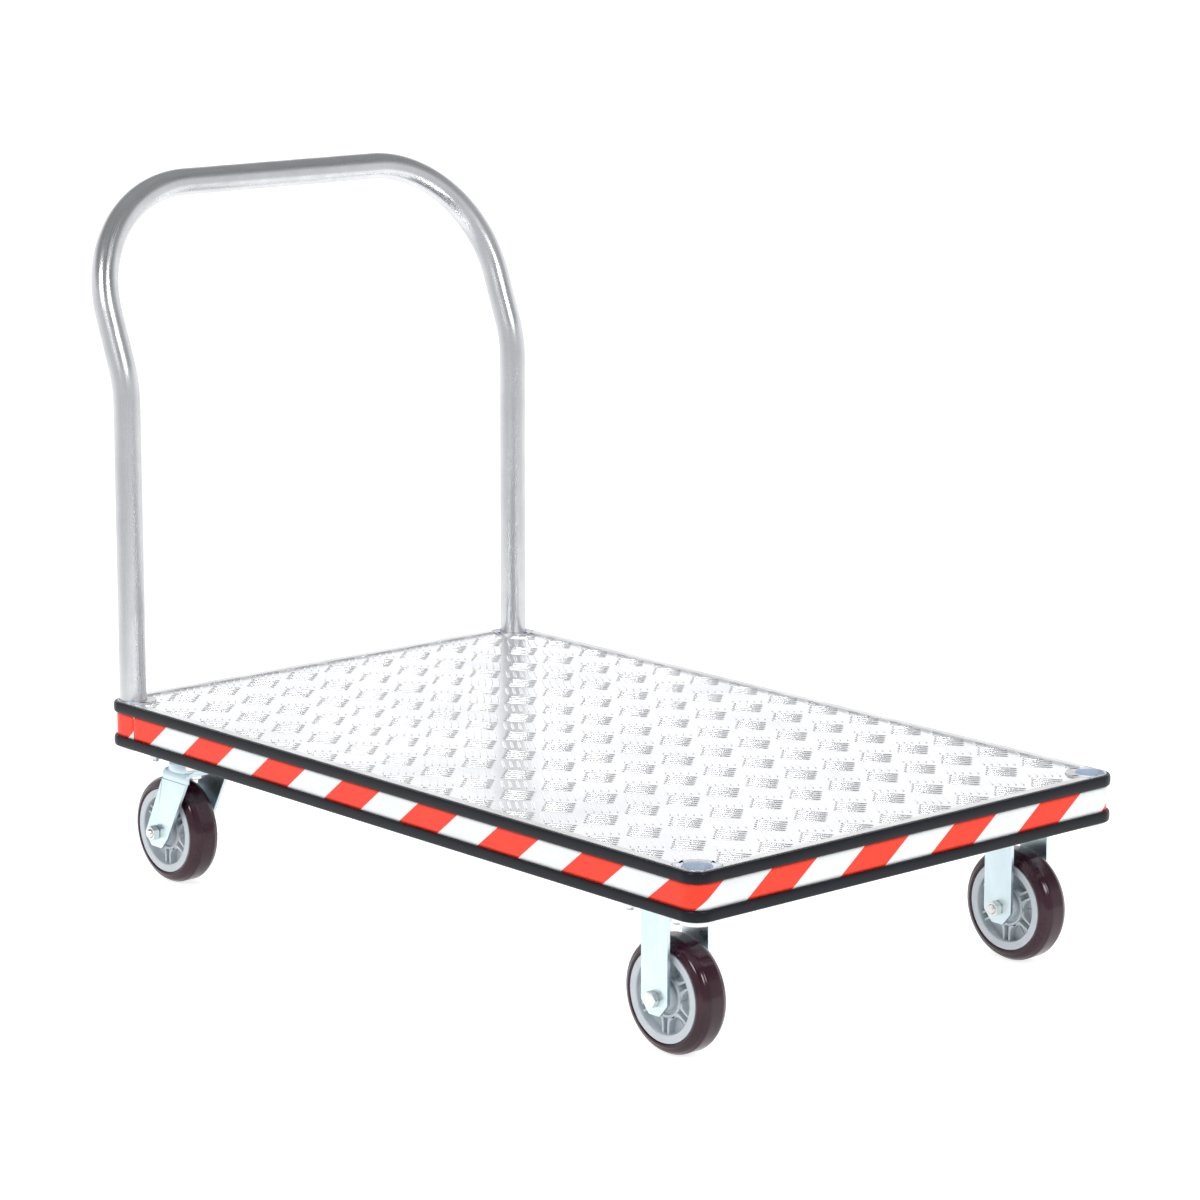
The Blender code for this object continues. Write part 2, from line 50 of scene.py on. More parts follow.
# ---------------------------------------------------------------- main sizes, as in the CAD
GAP = 0.0003
DECK_L, DECK_W = 1.232, 0.762
DECK_TOP, DECK_H = 0.264, 0.0635
CORNER_R = 0.028
SOCKET_IN = 0.028
BUMPER_D, BUMPER_H = 0.0053, 0.0148
WALL = 0.003
TUBE_R, TUBE_T = 0.01905, 0.0022
SOCKET_R, BOSS_R = 0.0198, 0.0280
BOSS_DROP, SOCKET_FLOOR = 0.0700, 0.005
FLANGE, RIM, RING_R = 0.012, 0.0012, 0.0315
KINK_Z, LEAN, KINK_R = 0.4515, math.radians(22.1), 0.150
HANDLE_Z, HANDLE_R = 0.7143, 0.182
PLATE_T, PLATE_DOWN = 0.003, 0.0015
LEDGE = 0.014
WHEEL_R, TYRE_W, HUB_R = 0.0762, 0.046, 0.0600
CASTER_X, CASTER_Y, TRAIL = 0.503, 0.3085, 0.047
PLATE_X, PLATE_Y, PLATE_TH = 0.114, 0.102, 0.006
BOLT_X, BOLT_Y = 0.043, 0.038
FORK_IN, FORK_T = 0.0315, 0.0055
AXLE_R = 0.006
ARM = 0.050

deck_low, deck_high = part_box("bumper_upper")
DX = (deck_low.x + deck_high.x) / 2      # x of the deck's centre
POST_X = -DECK_L / 2 + SOCKET_IN
WEB_X, WEB_Y, WEB_R = DECK_L / 2 - BUMPER_D, DECK_W / 2 - BUMPER_D, CORNER_R - BUMPER_D
SOCKET_X, SOCKET_Y = DECK_L / 2 - SOCKET_IN, DECK_W / 2 - SOCKET_IN
BOTTOM = DECK_TOP - DECK_H
PLATE_Z = BOTTOM - GAP
PLATE_TOP = DECK_TOP - PLATE_DOWN
FRAME_TOP = DECK_TOP + RIM


# ---------------------------------------------------------------- materials
class Nodes:
    """A small builder for node materials."""

    def __init__(self, name):
        self.mat = bpy.data.materials.new(name)
        self.mat.use_nodes = True
        self.tree = self.mat.node_tree
        self.bsdf = self.tree.nodes["Principled BSDF"]
        self.coord = self.tree.nodes.new("ShaderNodeTexCoord")

    def put(self, node, socket, value):
        if value is None:
            return
        where = node.inputs[socket]
        if isinstance(value, bpy.types.NodeSocket):
            self.tree.links.new(value, where)
        else:
            where.default_value = value

    def mapped(self, scale, source="Object", rotation=(0, 0, 0)):
        node = self.tree.nodes.new("ShaderNodeMapping")
        self.tree.links.new(self.coord.outputs[source], node.inputs["Vector"])
        node.inputs["Scale"].default_value = scale
        node.inputs["Rotation"].default_value = rotation
        return node.outputs["Vector"]

    def noise(self, vector, scale=1.0, detail=4.0, rough=0.55, distortion=0.0):
        node = self.tree.nodes.new("ShaderNodeTexNoise")
        self.put(node, "Vector", vector)
        self.put(node, "Scale", scale)
        self.put(node, "Detail", detail)
        self.put(node, "Roughness", rough)
        self.put(node, "Distortion", distortion)
        return node.outputs["Fac"]

    def voronoi(self, vector, scale, feature="F1", metric="EUCLIDEAN", randomness=1.0):
        node = self.tree.nodes.new("ShaderNodeTexVoronoi")
        node.feature = feature
        if feature not in ("DISTANCE_TO_EDGE", "N_SPHERE_RADIUS"):
            node.distance = metric
        self.put(node, "Vector", vector)
        self.put(node, "Scale", scale)
        self.put(node, "Randomness", randomness)
        return node.outputs["Distance"]

    def span(self, value, low, high, to_low, to_high, smooth=False):
        node = self.tree.nodes.new("ShaderNodeMapRange")
        if smooth:
            node.interpolation_type = "SMOOTHSTEP"
        self.put(node, "Value", value)
        self.put(node, "From Min", low)
        self.put(node, "From Max", high)
        self.put(node, "To Min", to_low)
        self.put(node, "To Max", to_high)
        return node.outputs["Result"]

    def math(self, operation, a, b=None):
        node = self.tree.nodes.new("ShaderNodeMath")
        node.operation = operation
        for i, v in enumerate((a, b)):
            if v is None:
                continue
            if isinstance(v, bpy.types.NodeSocket):
                self.tree.links.new(v, node.inputs[i])
            else:
                node.inputs[i].default_value = v
        return node.outputs["Value"]

    def mix(self, factor, a, b, blend="MIX"):
        node = self.tree.nodes.new("ShaderNodeMix")
        node.data_type = "RGBA"
        node.blend_type = blend
        self.put(node, "Factor", factor)
        for socket, v in (("A", a), ("B", b)):
            where = [s for s in node.inputs if s.name == socket and s.type == "RGBA"][0]
            if isinstance(v, bpy.types.NodeSocket):
                self.tree.links.new(v, where)
            else:
                where.default_value = (*v, 1.0) if len(v) == 3 else v
        return [s for s in node.outputs if s.type == "RGBA"][0]

    def bump(self, height, strength=0.2, distance=0.0005, normal=None):
        node = self.tree.nodes.new("ShaderNodeBump")
        self.put(node, "Height", height)
        self.put(node, "Strength", strength)
        self.put(node, "Distance", distance)
        if normal is not None:
            self.put(node, "Normal", normal)
        return node.outputs["Normal"]

    def finish(self, **values):
        for key, value in values.items():
            name = key.replace("_", " ")
            if name in ("Base Color", "Specular Tint", "Coat Tint") and not isinstance(value, bpy.types.NodeSocket):
                value = (*value, 1.0) if len(value) == 3 else value
            self.put(self.bsdf, name, value)
        return self.mat


def brushed_metal(name, colour, dark, rough, grain, bump=0.12, source="Object", cloud=9.0, rotation=(0, 0, 0), spread=0.08):
    """Metal with a drawn or rolled grain; grain is the noise scale along each axis."""
    n = Nodes(name)
    lines = n.noise(n.mapped(grain, source, rotation), 1.0, 5.0, 0.62)
    patch = n.noise(n.mapped((1, 1, 1)), cloud, 4.0, 0.6)
    fine = n.noise(n.mapped((1, 1, 1)), 900.0, 2.0, 0.5)
    shade = n.mix(n.span(patch, 0.35, 0.68, 0.0, 1.0), colour, dark)
    shade = n.mix(n.span(lines, 0.3, 0.75, 0.0, 0.22), shade, [0.72 * c for c in colour])
    roughness = n.math("ADD", n.span(lines, 0.3, 0.7, rough - spread, rough + spread), n.span(patch, 0.3, 0.7, -0.04, 0.05))
    normal = n.bump(lines, bump, 0.00025, n.bump(fine, 0.05, 0.0001))
    return n.finish(Base_Color=shade, Roughness=roughness, Metallic=1.0, Normal=normal)


def rubber():
    n = Nodes("black_rubber")
    grain = n.noise(n.mapped((1, 1, 1)), 1400.0, 3.0, 0.6)
    broad = n.noise(n.mapped((1, 1, 1)), 14.0, 5.0, 0.6)
    dust = n.noise(n.mapped((1, 1, 1)), 240.0, 6.0, 0.75)
    where = n.noise(n.mapped((1, 1, 1)), 7.5, 3.0, 0.5)
    streak = n.noise(n.mapped((28, 28, 420)), 1.0, 4.0, 0.6)
    low = n.tree.nodes.new("ShaderNodeSeparateXYZ")
    n.tree.links.new(n.coord.outputs["Object"], low.inputs[0])
    floorward = n.span(low.outputs["Z"], 0.212, 0.240, 1.0, 0.35)
    specks = n.math("MULTIPLY", n.span(dust, 0.66, 0.72, 0.0, 1.0), n.span(where, 0.44, 0.62, 0.0, 1.0))
    specks = n.math("MULTIPLY", specks, floorward)
    shade = n.mix(n.span(broad, 0.3, 0.7, 0.0, 1.0), (0.0042, 0.0056, 0.0090), (0.0075, 0.0095, 0.0145))
    shade = n.mix(n.span(streak, 0.62, 0.80, 0.0, 0.10), shade, (0.05, 0.05, 0.055))
    shade = n.mix(n.math("MULTIPLY", specks, 0.65), shade, (0.34, 0.35, 0.36))
    roughness = n.math("ADD", n.span(broad, 0.3, 0.7, 0.28, 0.38), n.math("MULTIPLY", specks, 0.3))
    return n.finish(Base_Color=shade, Roughness=roughness, Metallic=0.0, Specular_IOR_Level=0.20,
                    Normal=n.bump(grain, 0.10, 0.0001))


def tape(name, colour, deep):
    """Retro-reflective sheeting: a clear face over a fine honeycomb."""
    n = Nodes(name)
    cells = n.voronoi(n.mapped((1, 1, 1)), 260.0, "DISTANCE_TO_EDGE", randomness=0.12)
    net = n.span(cells, 0.02, 0.10, 1.0, 0.0)
    broad = n.noise(n.mapped((1, 1, 1)), 16.0, 4.0, 0.6)
    grime = n.noise(n.mapped((1, 1, 1)), 130.0, 6.0, 0.7)
    shade = n.mix(n.span(broad, 0.3, 0.7, 0.0, 1.0), colour, deep)
    shade = n.mix(n.math("MULTIPLY", net, 0.08), shade, [0.78 * c for c in deep])
    shade = n.mix(n.span(grime, 0.66, 0.80, 0.0, 0.08), shade, (0.30, 0.28, 0.26))
    normal = n.bump(net, 0.05, 0.0001, n.bump(n.noise(n.mapped((1, 1, 1)), 45.0, 3.0, 0.5), 0.06, 0.0006))
    return n.finish(Base_Color=shade, Roughness=n.span(broad, 0.3, 0.7, 0.26, 0.36), Metallic=0.0,
                    Specular_IOR_Level=0.25, Normal=normal)


def nylon():
    n = Nodes("grey_nylon")
    flow = n.noise(n.mapped((1, 1, 1)), 46.0, 5.0, 0.6, 0.6)
    grain = n.noise(n.mapped((1, 1, 1)), 2300.0, 2.0, 0.5)
    dust = n.noise(n.mapped((1, 1, 1)), 420.0, 5.0, 0.7)
    shade = n.mix(n.span(flow, 0.3, 0.7, 0.0, 1.0), (0.470, 0.520, 0.555), (0.530, 0.575, 0.610))
    shade = n.mix(n.span(dust, 0.64, 0.78, 0.0, 0.22), shade, (0.22, 0.25, 0.27))
    return n.finish(Base_Color=shade, Roughness=n.span(flow, 0.3, 0.7, 0.36, 0.48), Metallic=0.0,
                    Specular_IOR_Level=0.4, Normal=n.bump(grain, 0.12, 0.0001))


def polyurethane():
    n = Nodes("maroon_polyurethane")
    swirl = n.noise(n.mapped((1, 1, 1)), 24.0, 4.0, 0.55, 0.8)
    scuff = n.noise(n.mapped((30, 320, 30)), 1.0, 5.0, 0.7)
    spots = n.noise(n.mapped((1, 1, 1)), 340.0, 6.0, 0.75)
    shade = n.mix(n.span(swirl, 0.3, 0.7, 0.0, 1.0), (0.018, 0.0022, 0.0072), (0.031, 0.0038, 0.0130))
    shade = n.mix(n.span(spots, 0.71, 0.79, 0.0, 0.55), shade, (0.24, 0.17, 0.18))
    roughness = n.math("ADD", n.span(scuff, 0.35, 0.7, 0.13, 0.22), n.span(spots, 0.68, 0.80, 0.0, 0.20))
    return n.finish(Base_Color=shade, Roughness=roughness, Metallic=0.0, Specular_IOR_Level=0.42,
                    Normal=n.bump(n.noise(n.mapped((1, 1, 1)), 70.0, 3.0, 0.5), 0.04, 0.0006))


def zinc(name, colour, dark, rough, tint):
    """Blue zinc plate over rolled sheet: soft clouds of tint, faint rolling lines and small marks."""
    n = Nodes(name)
    cloud = n.noise(n.mapped((1, 1, 0.5)), 22.0, 5.0, 0.6, 0.5)
    tinted = n.noise(n.mapped((1, 1, 0.35)), 9.0, 3.0, 0.5, 1.2)
    lines = n.noise(n.mapped((420, 420, 26)), 1.0, 4.0, 0.6)
    marks = n.noise(n.mapped((1, 1, 1)), 260.0, 6.0, 0.72)
    shade = n.mix(n.span(cloud, 0.3, 0.7, 0.0, 1.0), colour, dark)
    shade = n.mix(n.span(tinted, 0.45, 0.72, 0.0, 0.35), shade, tint)
    shade = n.mix(n.span(marks, 0.66, 0.80, 0.0, 0.28), shade, [0.6 * c for c in dark])
    roughness = n.math("ADD", n.span(cloud, 0.3, 0.7, rough - 0.05, rough + 0.07), n.span(marks, 0.6, 0.8, 0.0, 0.12))
    normal = n.bump(lines, 0.04, 0.0002, n.bump(cloud, 0.04, 0.0008))
    return n.finish(Base_Color=shade, Roughness=roughness, Metallic=1.0, Normal=normal)


def tread_metal():
    """Bright rolled sheet: long faint rolling lines and a few fine marks."""
    n = Nodes("tread_aluminium")
    lines = n.noise(n.mapped((9, 420, 60)), 1.0, 4.0, 0.6)
    patch = n.noise(n.mapped((1, 1, 1)), 5.0, 4.0, 0.6)
    marks = n.noise(n.mapped((60, 160, 60)), 1.0, 6.0, 0.72)
    shade = n.mix(n.span(patch, 0.35, 0.68, 0.0, 1.0), (0.93, 0.935, 0.95), (0.90, 0.905, 0.925))
    shade = n.mix(n.span(lines, 0.4, 0.75, 0.0, 0.08), shade, (0.70, 0.71, 0.74))
    shade = n.mix(n.span(marks, 0.66, 0.82, 0.0, 0.18), shade, (0.58, 0.59, 0.62))
    return n.finish(Base_Color=shade, Roughness=n.span(patch, 0.3, 0.7, 0.20, 0.27), Metallic=1.0,
                    Normal=n.bump(lines, 0.015, 0.0002))


def painted_light_bore_metal():
    """The inside of a socket: painted light, a bluish, mostly non-metallic copy of the casting metal that makes the
    shaded bore look lit grey-blue; the faint rings are machining marks.
    """
    n = Nodes("socket_bore_painted_light")
    rings = n.noise(n.mapped((60, 60, 1600)), 1.0, 4.0, 0.6)
    patch = n.noise(n.mapped((1, 1, 1)), 60.0, 4.0, 0.6)
    shade = n.mix(n.span(patch, 0.3, 0.7, 0.0, 1.0), (0.66, 0.745, 0.86), (0.58, 0.67, 0.79))
    shade = n.mix(n.span(rings, 0.4, 0.8, 0.0, 0.25), shade, (0.44, 0.50, 0.58))
    return n.finish(Base_Color=shade, Roughness=n.span(patch, 0.3, 0.7, 0.42, 0.55), Metallic=0.25, Normal=n.bump(rings, 0.05, 0.0001))


M = {
    "tread_aluminium": tread_metal(),
    "rail_aluminium": brushed_metal("rail_aluminium", (0.90, 0.90, 0.895), (0.84, 0.845, 0.84), 0.30, (40, 900, 900), 0.05),
    "rail_end_aluminium": brushed_metal("rail_end_aluminium", (0.90, 0.90, 0.895), (0.84, 0.845, 0.84), 0.30, (900, 40, 900), 0.05),
    "cast_aluminium": brushed_metal("cast_aluminium", (0.86, 0.86, 0.855), (0.78, 0.785, 0.79), 0.36, (260, 260, 260), 0.06, cloud=60.0),
    # the bore: painted light, a bluish lit copy of the casting metal
    "socket_bore_painted_light": painted_light_bore_metal(),
    "tube_aluminium": brushed_metal("tube_aluminium", (0.66, 0.672, 0.69), (0.58, 0.592, 0.61), 0.28, (55, 2.2, 1), 0.05, source="UV", cloud=20.0),
    "black_rubber": rubber(),
    "tape_red": tape("tape_red", (0.95, 0.052, 0.022), (0.89, 0.045, 0.019)),
    "tape_white": tape("tape_white", (0.86, 0.885, 0.88), (0.80, 0.83, 0.83)),
    "zinc_steel": zinc("zinc_steel", (0.66, 0.775, 0.815), (0.57, 0.69, 0.74), 0.30, (0.70, 0.77, 0.74)),
    "bolt_steel": zinc("bolt_steel", (0.78, 0.79, 0.78), (0.64, 0.655, 0.65), 0.24, (0.76, 0.71, 0.56)),
    "bearing_steel": brushed_metal("bearing_steel", (0.52, 0.53, 0.54), (0.42, 0.43, 0.44), 0.28, (400, 30, 400), 0.08),
    "grey_nylon": nylon(),
    "maroon_polyurethane": polyurethane(),
}


# ---------------------------------------------------------------- shape helpers
def mesh_object(name, verts, faces, finish, body=None, replaces=(), sharp=40.0, uvs=None):
    mesh = bpy.data.meshes.new(name)
    mesh.from_pydata([tuple(v) for v in verts], [], [tuple(f) for f in faces])
    mesh.update()
    made = bpy.data.objects.new(name, mesh)
    scene.collection.objects.link(made)
    return dress(made, finish, body, replaces, sharp)


def dress(made, finish, body=None, replaces=(), sharp=40.0):
    for f in ([finish] if isinstance(finish, str) else finish):
        if f:
            made.data.materials.append(M[f])
    made.data.shade_smooth()
    made.data.set_sharp_from_angle(angle=math.radians(sharp))
    if body:
        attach(made, body)
    if replaces:
        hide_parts(*replaces)
    return made


def bm_object(name, bm, finish=None, body=None, replaces=(), sharp=40.0, tidy=True):
    if tidy:
        bmesh.ops.recalc_face_normals(bm, faces=bm.faces)
        if bm.calc_volume(signed=True) < 0:
            bmesh.ops.reverse_faces(bm, faces=bm.faces)
    mesh = bpy.data.meshes.new(name)
    bm.to_mesh(mesh)
    bm.free()
    made = bpy.data.objects.new(name, mesh)
    scene.collection.objects.link(made)
    return dress(made, finish or [], body, replaces, sharp)


def loft(rings, closed_path=False, caps=True):
    bm = bmesh.new()
    made = [[bm.verts.new(p) for p in ring] for ring in rings]
    n, m = len(made), len(made[0])
    for i in range(n if closed_path else n - 1):
        a, b = made[i], made[(i + 1) % n]
        for j in range(m):
            k = (j + 1) % m
            bm.faces.new((a[j], a[k], b[k], b[j]))
    if caps and not closed_path:
        bm.faces.new(made[0])
        bm.faces.new(list(reversed(made[-1])))
    return bm


def revolve(profile, centre, axis, segs, turn=0.0):
    """A closed (radius, along) profile swept a full turn; radius 0 points become poles."""
    bm = bmesh.new()
    c = Vector(centre)

    def place(r, a, t):
        u, v = r * math.cos(t), r * math.sin(t)
        if axis == "Y":
            return c + Vector((u, a, v))
        if axis == "X":
            return c + Vector((a, u, v))
        return c + Vector((u, v, a))

    cols = []
    poles = {i: bm.verts.new(place(0, a, 0)) for i, (r, a) in enumerate(profile) if r == 0}
    for s in range(segs):
        t = 2 * math.pi * s / segs + turn
        cols.append([poles[i] if r == 0 else bm.verts.new(place(r, a, t)) for i, (r, a) in enumerate(profile)])
    for s in range(segs):
        one, two = cols[s], cols[(s + 1) % segs]
        for i in range(len(profile)):
            k = (i + 1) % len(profile)
            corners = []
            for v in (one[i], one[k], two[k], two[i]):
                if v not in corners:
                    corners.append(v)
            if len(corners) > 2:
                bm.faces.new(corners)
    return bm


def prism(points, axis, lo, hi):
    def at(p, h):
        if axis == "Z":
            return (p[0], p[1], h)
        if axis == "Y":
            return (p[0], h, p[1])
        return (h, p[0], p[1])

    return loft([[at(p, lo) for p in points], [at(p, hi) for p in points]])


def box(x0, x1, y0, y1, z0, z1):
    return prism([(x0, y0), (x1, y0), (x1, y1), (x0, y1)], "Z", z0, z1)


def round_bar(x, y, r, z0, z1, segs, turn=0.0):
    pts = [(x + r * math.cos(2 * math.pi * i / segs + turn), y + r * math.sin(2 * math.pi * i / segs + turn)) for i in range(segs)]
    return prism(pts, "Z", z0, z1)


def cross_bar(x, z, r, y0, y1, segs, turn=0.0):
    pts = [(x + r * math.cos(2 * math.pi * i / segs + turn), z + r * math.sin(2 * math.pi * i / segs + turn)) for i in range(segs)]
    return prism(pts, "Y", y0, y1)


def combine(obj, steps, sharp=40.0):
    """Exact Booleans, in order: ('UNION' or 'DIFFERENCE', bmesh)."""
    helpers = []
    for i, (operation, bm) in enumerate(steps):
        cutter = bm_object(f"{obj.name}_tool_{i}", bm)
        step = obj.modifiers.new(f"step_{i}", "BOOLEAN")
        step.operation = operation
        step.solver = "EXACT"
        step.object = cutter
        helpers.append(cutter)
    bpy.context.view_layer.update()
    graph = bpy.context.evaluated_depsgraph_get()
    baked = bpy.data.meshes.new_from_object(obj.evaluated_get(graph))
    obj.modifiers.clear()
    obj.data = baked
    for cutter in helpers:
        bpy.data.objects.remove(cutter, do_unlink=True)
    obj.data.shade_smooth()
    obj.data.set_sharp_from_angle(angle=math.radians(sharp))
    return obj


def soften(obj, width, segments=2, angle=38.0, weld=False):
    """Rounds the sharp edges."""
    if weld:
        join = obj.modifiers.new("weld", "WELD")
        join.merge_threshold = 0.00001
    edge = obj.modifiers.new("edges", "BEVEL")
    edge.width = width
    edge.segments = segments
    edge.limit_method = "ANGLE"
    edge.angle_limit = math.radians(angle)
    edge.use_clamp_overlap = False
    edge.harden_normals = False
    edge.miter_outer = "MITER_ARC"
    return obj


def around(offset, steps=6, radius=None):
    """Plan points of the frame's outline, moved out by offset."""
    pts = []
    for sx, sy, start in ((1, 1, 0), (-1, 1, 90), (-1, -1, 180), (1, -1, 270)):
        cx, cy = sx * (WEB_X - WEB_R), sy * (WEB_Y - WEB_R)
        for i in range(steps + 1):
            t = math.radians(start + 90 * i / steps)
            r = WEB_R + offset
            pts.append((DX + cx + r * math.cos(t), cy + r * math.sin(t)))
    return pts


# ---------------------------------------------------------------- tread plate
PITCH_X, PITCH_Y = 0.0814, 0.0704
BAR_L, BAR_W, BAR_H, BAR_STEP = 0.0425, 0.0044, 0.00085, 0.0101
BAR_TURN, ROW_TURN = math.radians(35.5), math.radians(-48.0)
PAD_X, PAD_Y = 0.0075, 0.0
SHEET_X, SHEET_Y = WEB_X - FLANGE - GAP, WEB_Y - FLANGE - GAP


def settle(x, y):
    """Where the pad meant for (x, y) falls on the rolled sheet."""
    return (x + 0.0062 + 0.0001 * x, y - 0.0063 + 0.0001 * y)


def bar_shape():
    """A lens-shaped bar along x, as rings of points from foot to crown, and its faces."""
    sides, rings = 20, []
    for grow, rise in ((1.0, -0.15), (0.97, 0.08), (0.88, 0.50), (0.68, 0.84), (0.36, 0.98)):
        ring = []
        for i in range(sides):
            t = 2 * math.pi * i / sides
            # rounded ends, full flanks
            across = math.copysign(abs(math.sin(t)) ** 0.80, math.sin(t))
            ends = 1.0 - (1.0 - grow) * 0.30
            ring.append((BAR_L / 2 * math.cos(t) * ends, BAR_W / 2 * across * grow, BAR_H * rise))
        rings.append(ring)
    verts = [p for r in rings for p in r] + [(0.0, 0.0, BAR_H)]
    faces = []
    for k in range(len(rings) - 1):
        for i in range(sides):
            j = (i + 1) % sides
            faces.append((k * sides + i, k * sides + j, (k + 1) * sides + j, (k + 1) * sides + i))
    top, last = len(verts) - 1, (len(rings) - 1) * sides
    for i in range(sides):
        faces.append((last + i, last + (i + 1) % sides, top))
    return np.array(verts), faces


def tread_bars():
    shape, faces = bar_shape()
    rng = random.Random(7)
    in_x, in_y = SHEET_X - 0.0003, SHEET_Y - 0.0003
    whole_v, whole_f, edge_v, edge_f = [], [], [], []
    for kind in (0, 1):
        sign = 1 if kind == 0 else -1
        angle, row = sign * BAR_TURN, sign * ROW_TURN
        u = np.array((math.cos(angle), math.sin(angle)))
        v = np.array((-u[1], u[0]))
        step = np.array((math.cos(row), math.sin(row))) * BAR_STEP
        for i in range(-9, 10):
            for j in range(-7, 8):
                off = 0.0 if kind == 0 else 0.5
                pad = np.array(settle(PAD_X + (i + off) * PITCH_X, PAD_Y + (j + off) * PITCH_Y))
                for k in (-2, -1, 0, 1, 2):
                    c = pad + step * k
                    if abs(c[0]) > in_x + 0.022 or abs(c[1]) > in_y + 0.022:
                        continue
                    pts = shape * (1.0 + rng.uniform(-0.012, 0.012), 1.0, 1.0 + rng.uniform(-0.06, 0.06))
                    plan = np.outer(pts[:, 0], u) + np.outer(pts[:, 1], v) + c
                    pts = np.column_stack((plan[:, 0] + DX, plan[:, 1], pts[:, 2] + PLATE_TOP))
                    if np.abs(plan[:, 0]).min() > in_x or np.abs(plan[:, 1]).min() > in_y:
                        continue
                    gap = min(math.hypot(plan[n, 0] - sx * SOCKET_X, plan[n, 1] - sy * SOCKET_Y)
                              for n in range(0, len(plan), 3) for sx in (1, -1) for sy in (1, -1))
                    near_edge = np.abs(plan[:, 0]).max() > in_x or np.abs(plan[:, 1]).max() > in_y or gap < RING_R + 0.004
                    verts, polys = (edge_v, edge_f) if near_edge else (whole_v, whole_f)
                    base = len(verts)
                    verts.extend(pts.tolist())
                    polys.extend([tuple(n + base for n in f) for f in faces])
    # bars that reach the sheared edge are cut off there
    bm = bmesh.new()
    made = [bm.verts.new(p) for p in edge_v]
    for f in edge_f:
        bm.faces.new([made[n] for n in f])

    def trim(point, normal):
        cut = bmesh.ops.bisect_plane(bm, geom=bm.verts[:] + bm.edges[:] + bm.faces[:], plane_co=point, plane_no=normal, clear_outer=True, dist=1e-7)
        rim = [e for e in cut["geom_cut"] if isinstance(e, bmesh.types.BMEdge) and e.is_valid]
        if rim:
            bmesh.ops.holes_fill(bm, edges=rim, sides=0)

    trim((DX + in_x, 0, 0), (1, 0, 0))
    trim((DX - in_x, 0, 0), (-1, 0, 0))
    trim((0, in_y, 0), (0, 1, 0))
    trim((0, -in_y, 0), (0, -1, 0))
    # and round the corner castings
    clear = RING_R + 0.0012
    for sx in (1, -1):
        for sy in (1, -1):
            cx, cy = DX + sx * SOCKET_X, sy * SOCKET_Y
            gone = [v for v in bm.verts if math.hypot(v.co.x - cx, v.co.y - cy) < clear - 0.004]
            bmesh.ops.delete(bm, geom=gone, context="VERTS")
            for v in bm.verts:
                d = math.hypot(v.co.x - cx, v.co.y - cy)
                if d < clear:
                    v.co.x, v.co.y = cx + (v.co.x - cx) * clear / d, cy + (v.co.y - cy) * clear / d
    rim = [e for e in bm.edges if e.is_boundary and max(p.co.z for p in e.verts) > PLATE_TOP + 1e-5]
    if rim:
        bmesh.ops.holes_fill(bm, edges=rim, sides=0)
    bm_object("tread_bars_cut", bm, "tread_aluminium", "deck", sharp=60, tidy=False)
    mesh_object("tread_bars", whole_v, whole_f, "tread_aluminium", "deck", sharp=60)


tread_bars()

plate = bm_object("tread_sheet", box(DX - SHEET_X, DX + SHEET_X, -SHEET_Y, SHEET_Y, PLATE_TOP - PLATE_T, PLATE_TOP), "tread_aluminium")
combine(plate, [
    ("DIFFERENCE", round_bar(DX + sx * SOCKET_X, sy * SOCKET_Y, RING_R + GAP + 0.0004, DECK_TOP - 0.02, DECK_TOP + 0.02, 96))
    for sx in (1, -1) for sy in (1, -1)
])
soften(plate, 0.0004, 2)
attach(plate, "deck")
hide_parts("tread_plate")

# ---------------------------------------------------------------- frame rails and cross-members
for name in ("side_rail_left", "side_rail_right", "crossmember_front", "crossmember_rear", "end_rail_front", "end_rail_rear"):
    o = NODES[name]
    o.data.materials.clear()
    o.data.materials.append(M["rail_aluminium" if name.startswith("side") else "rail_end_aluminium"])
    soften(o, 0.0004, 2, weld=True)

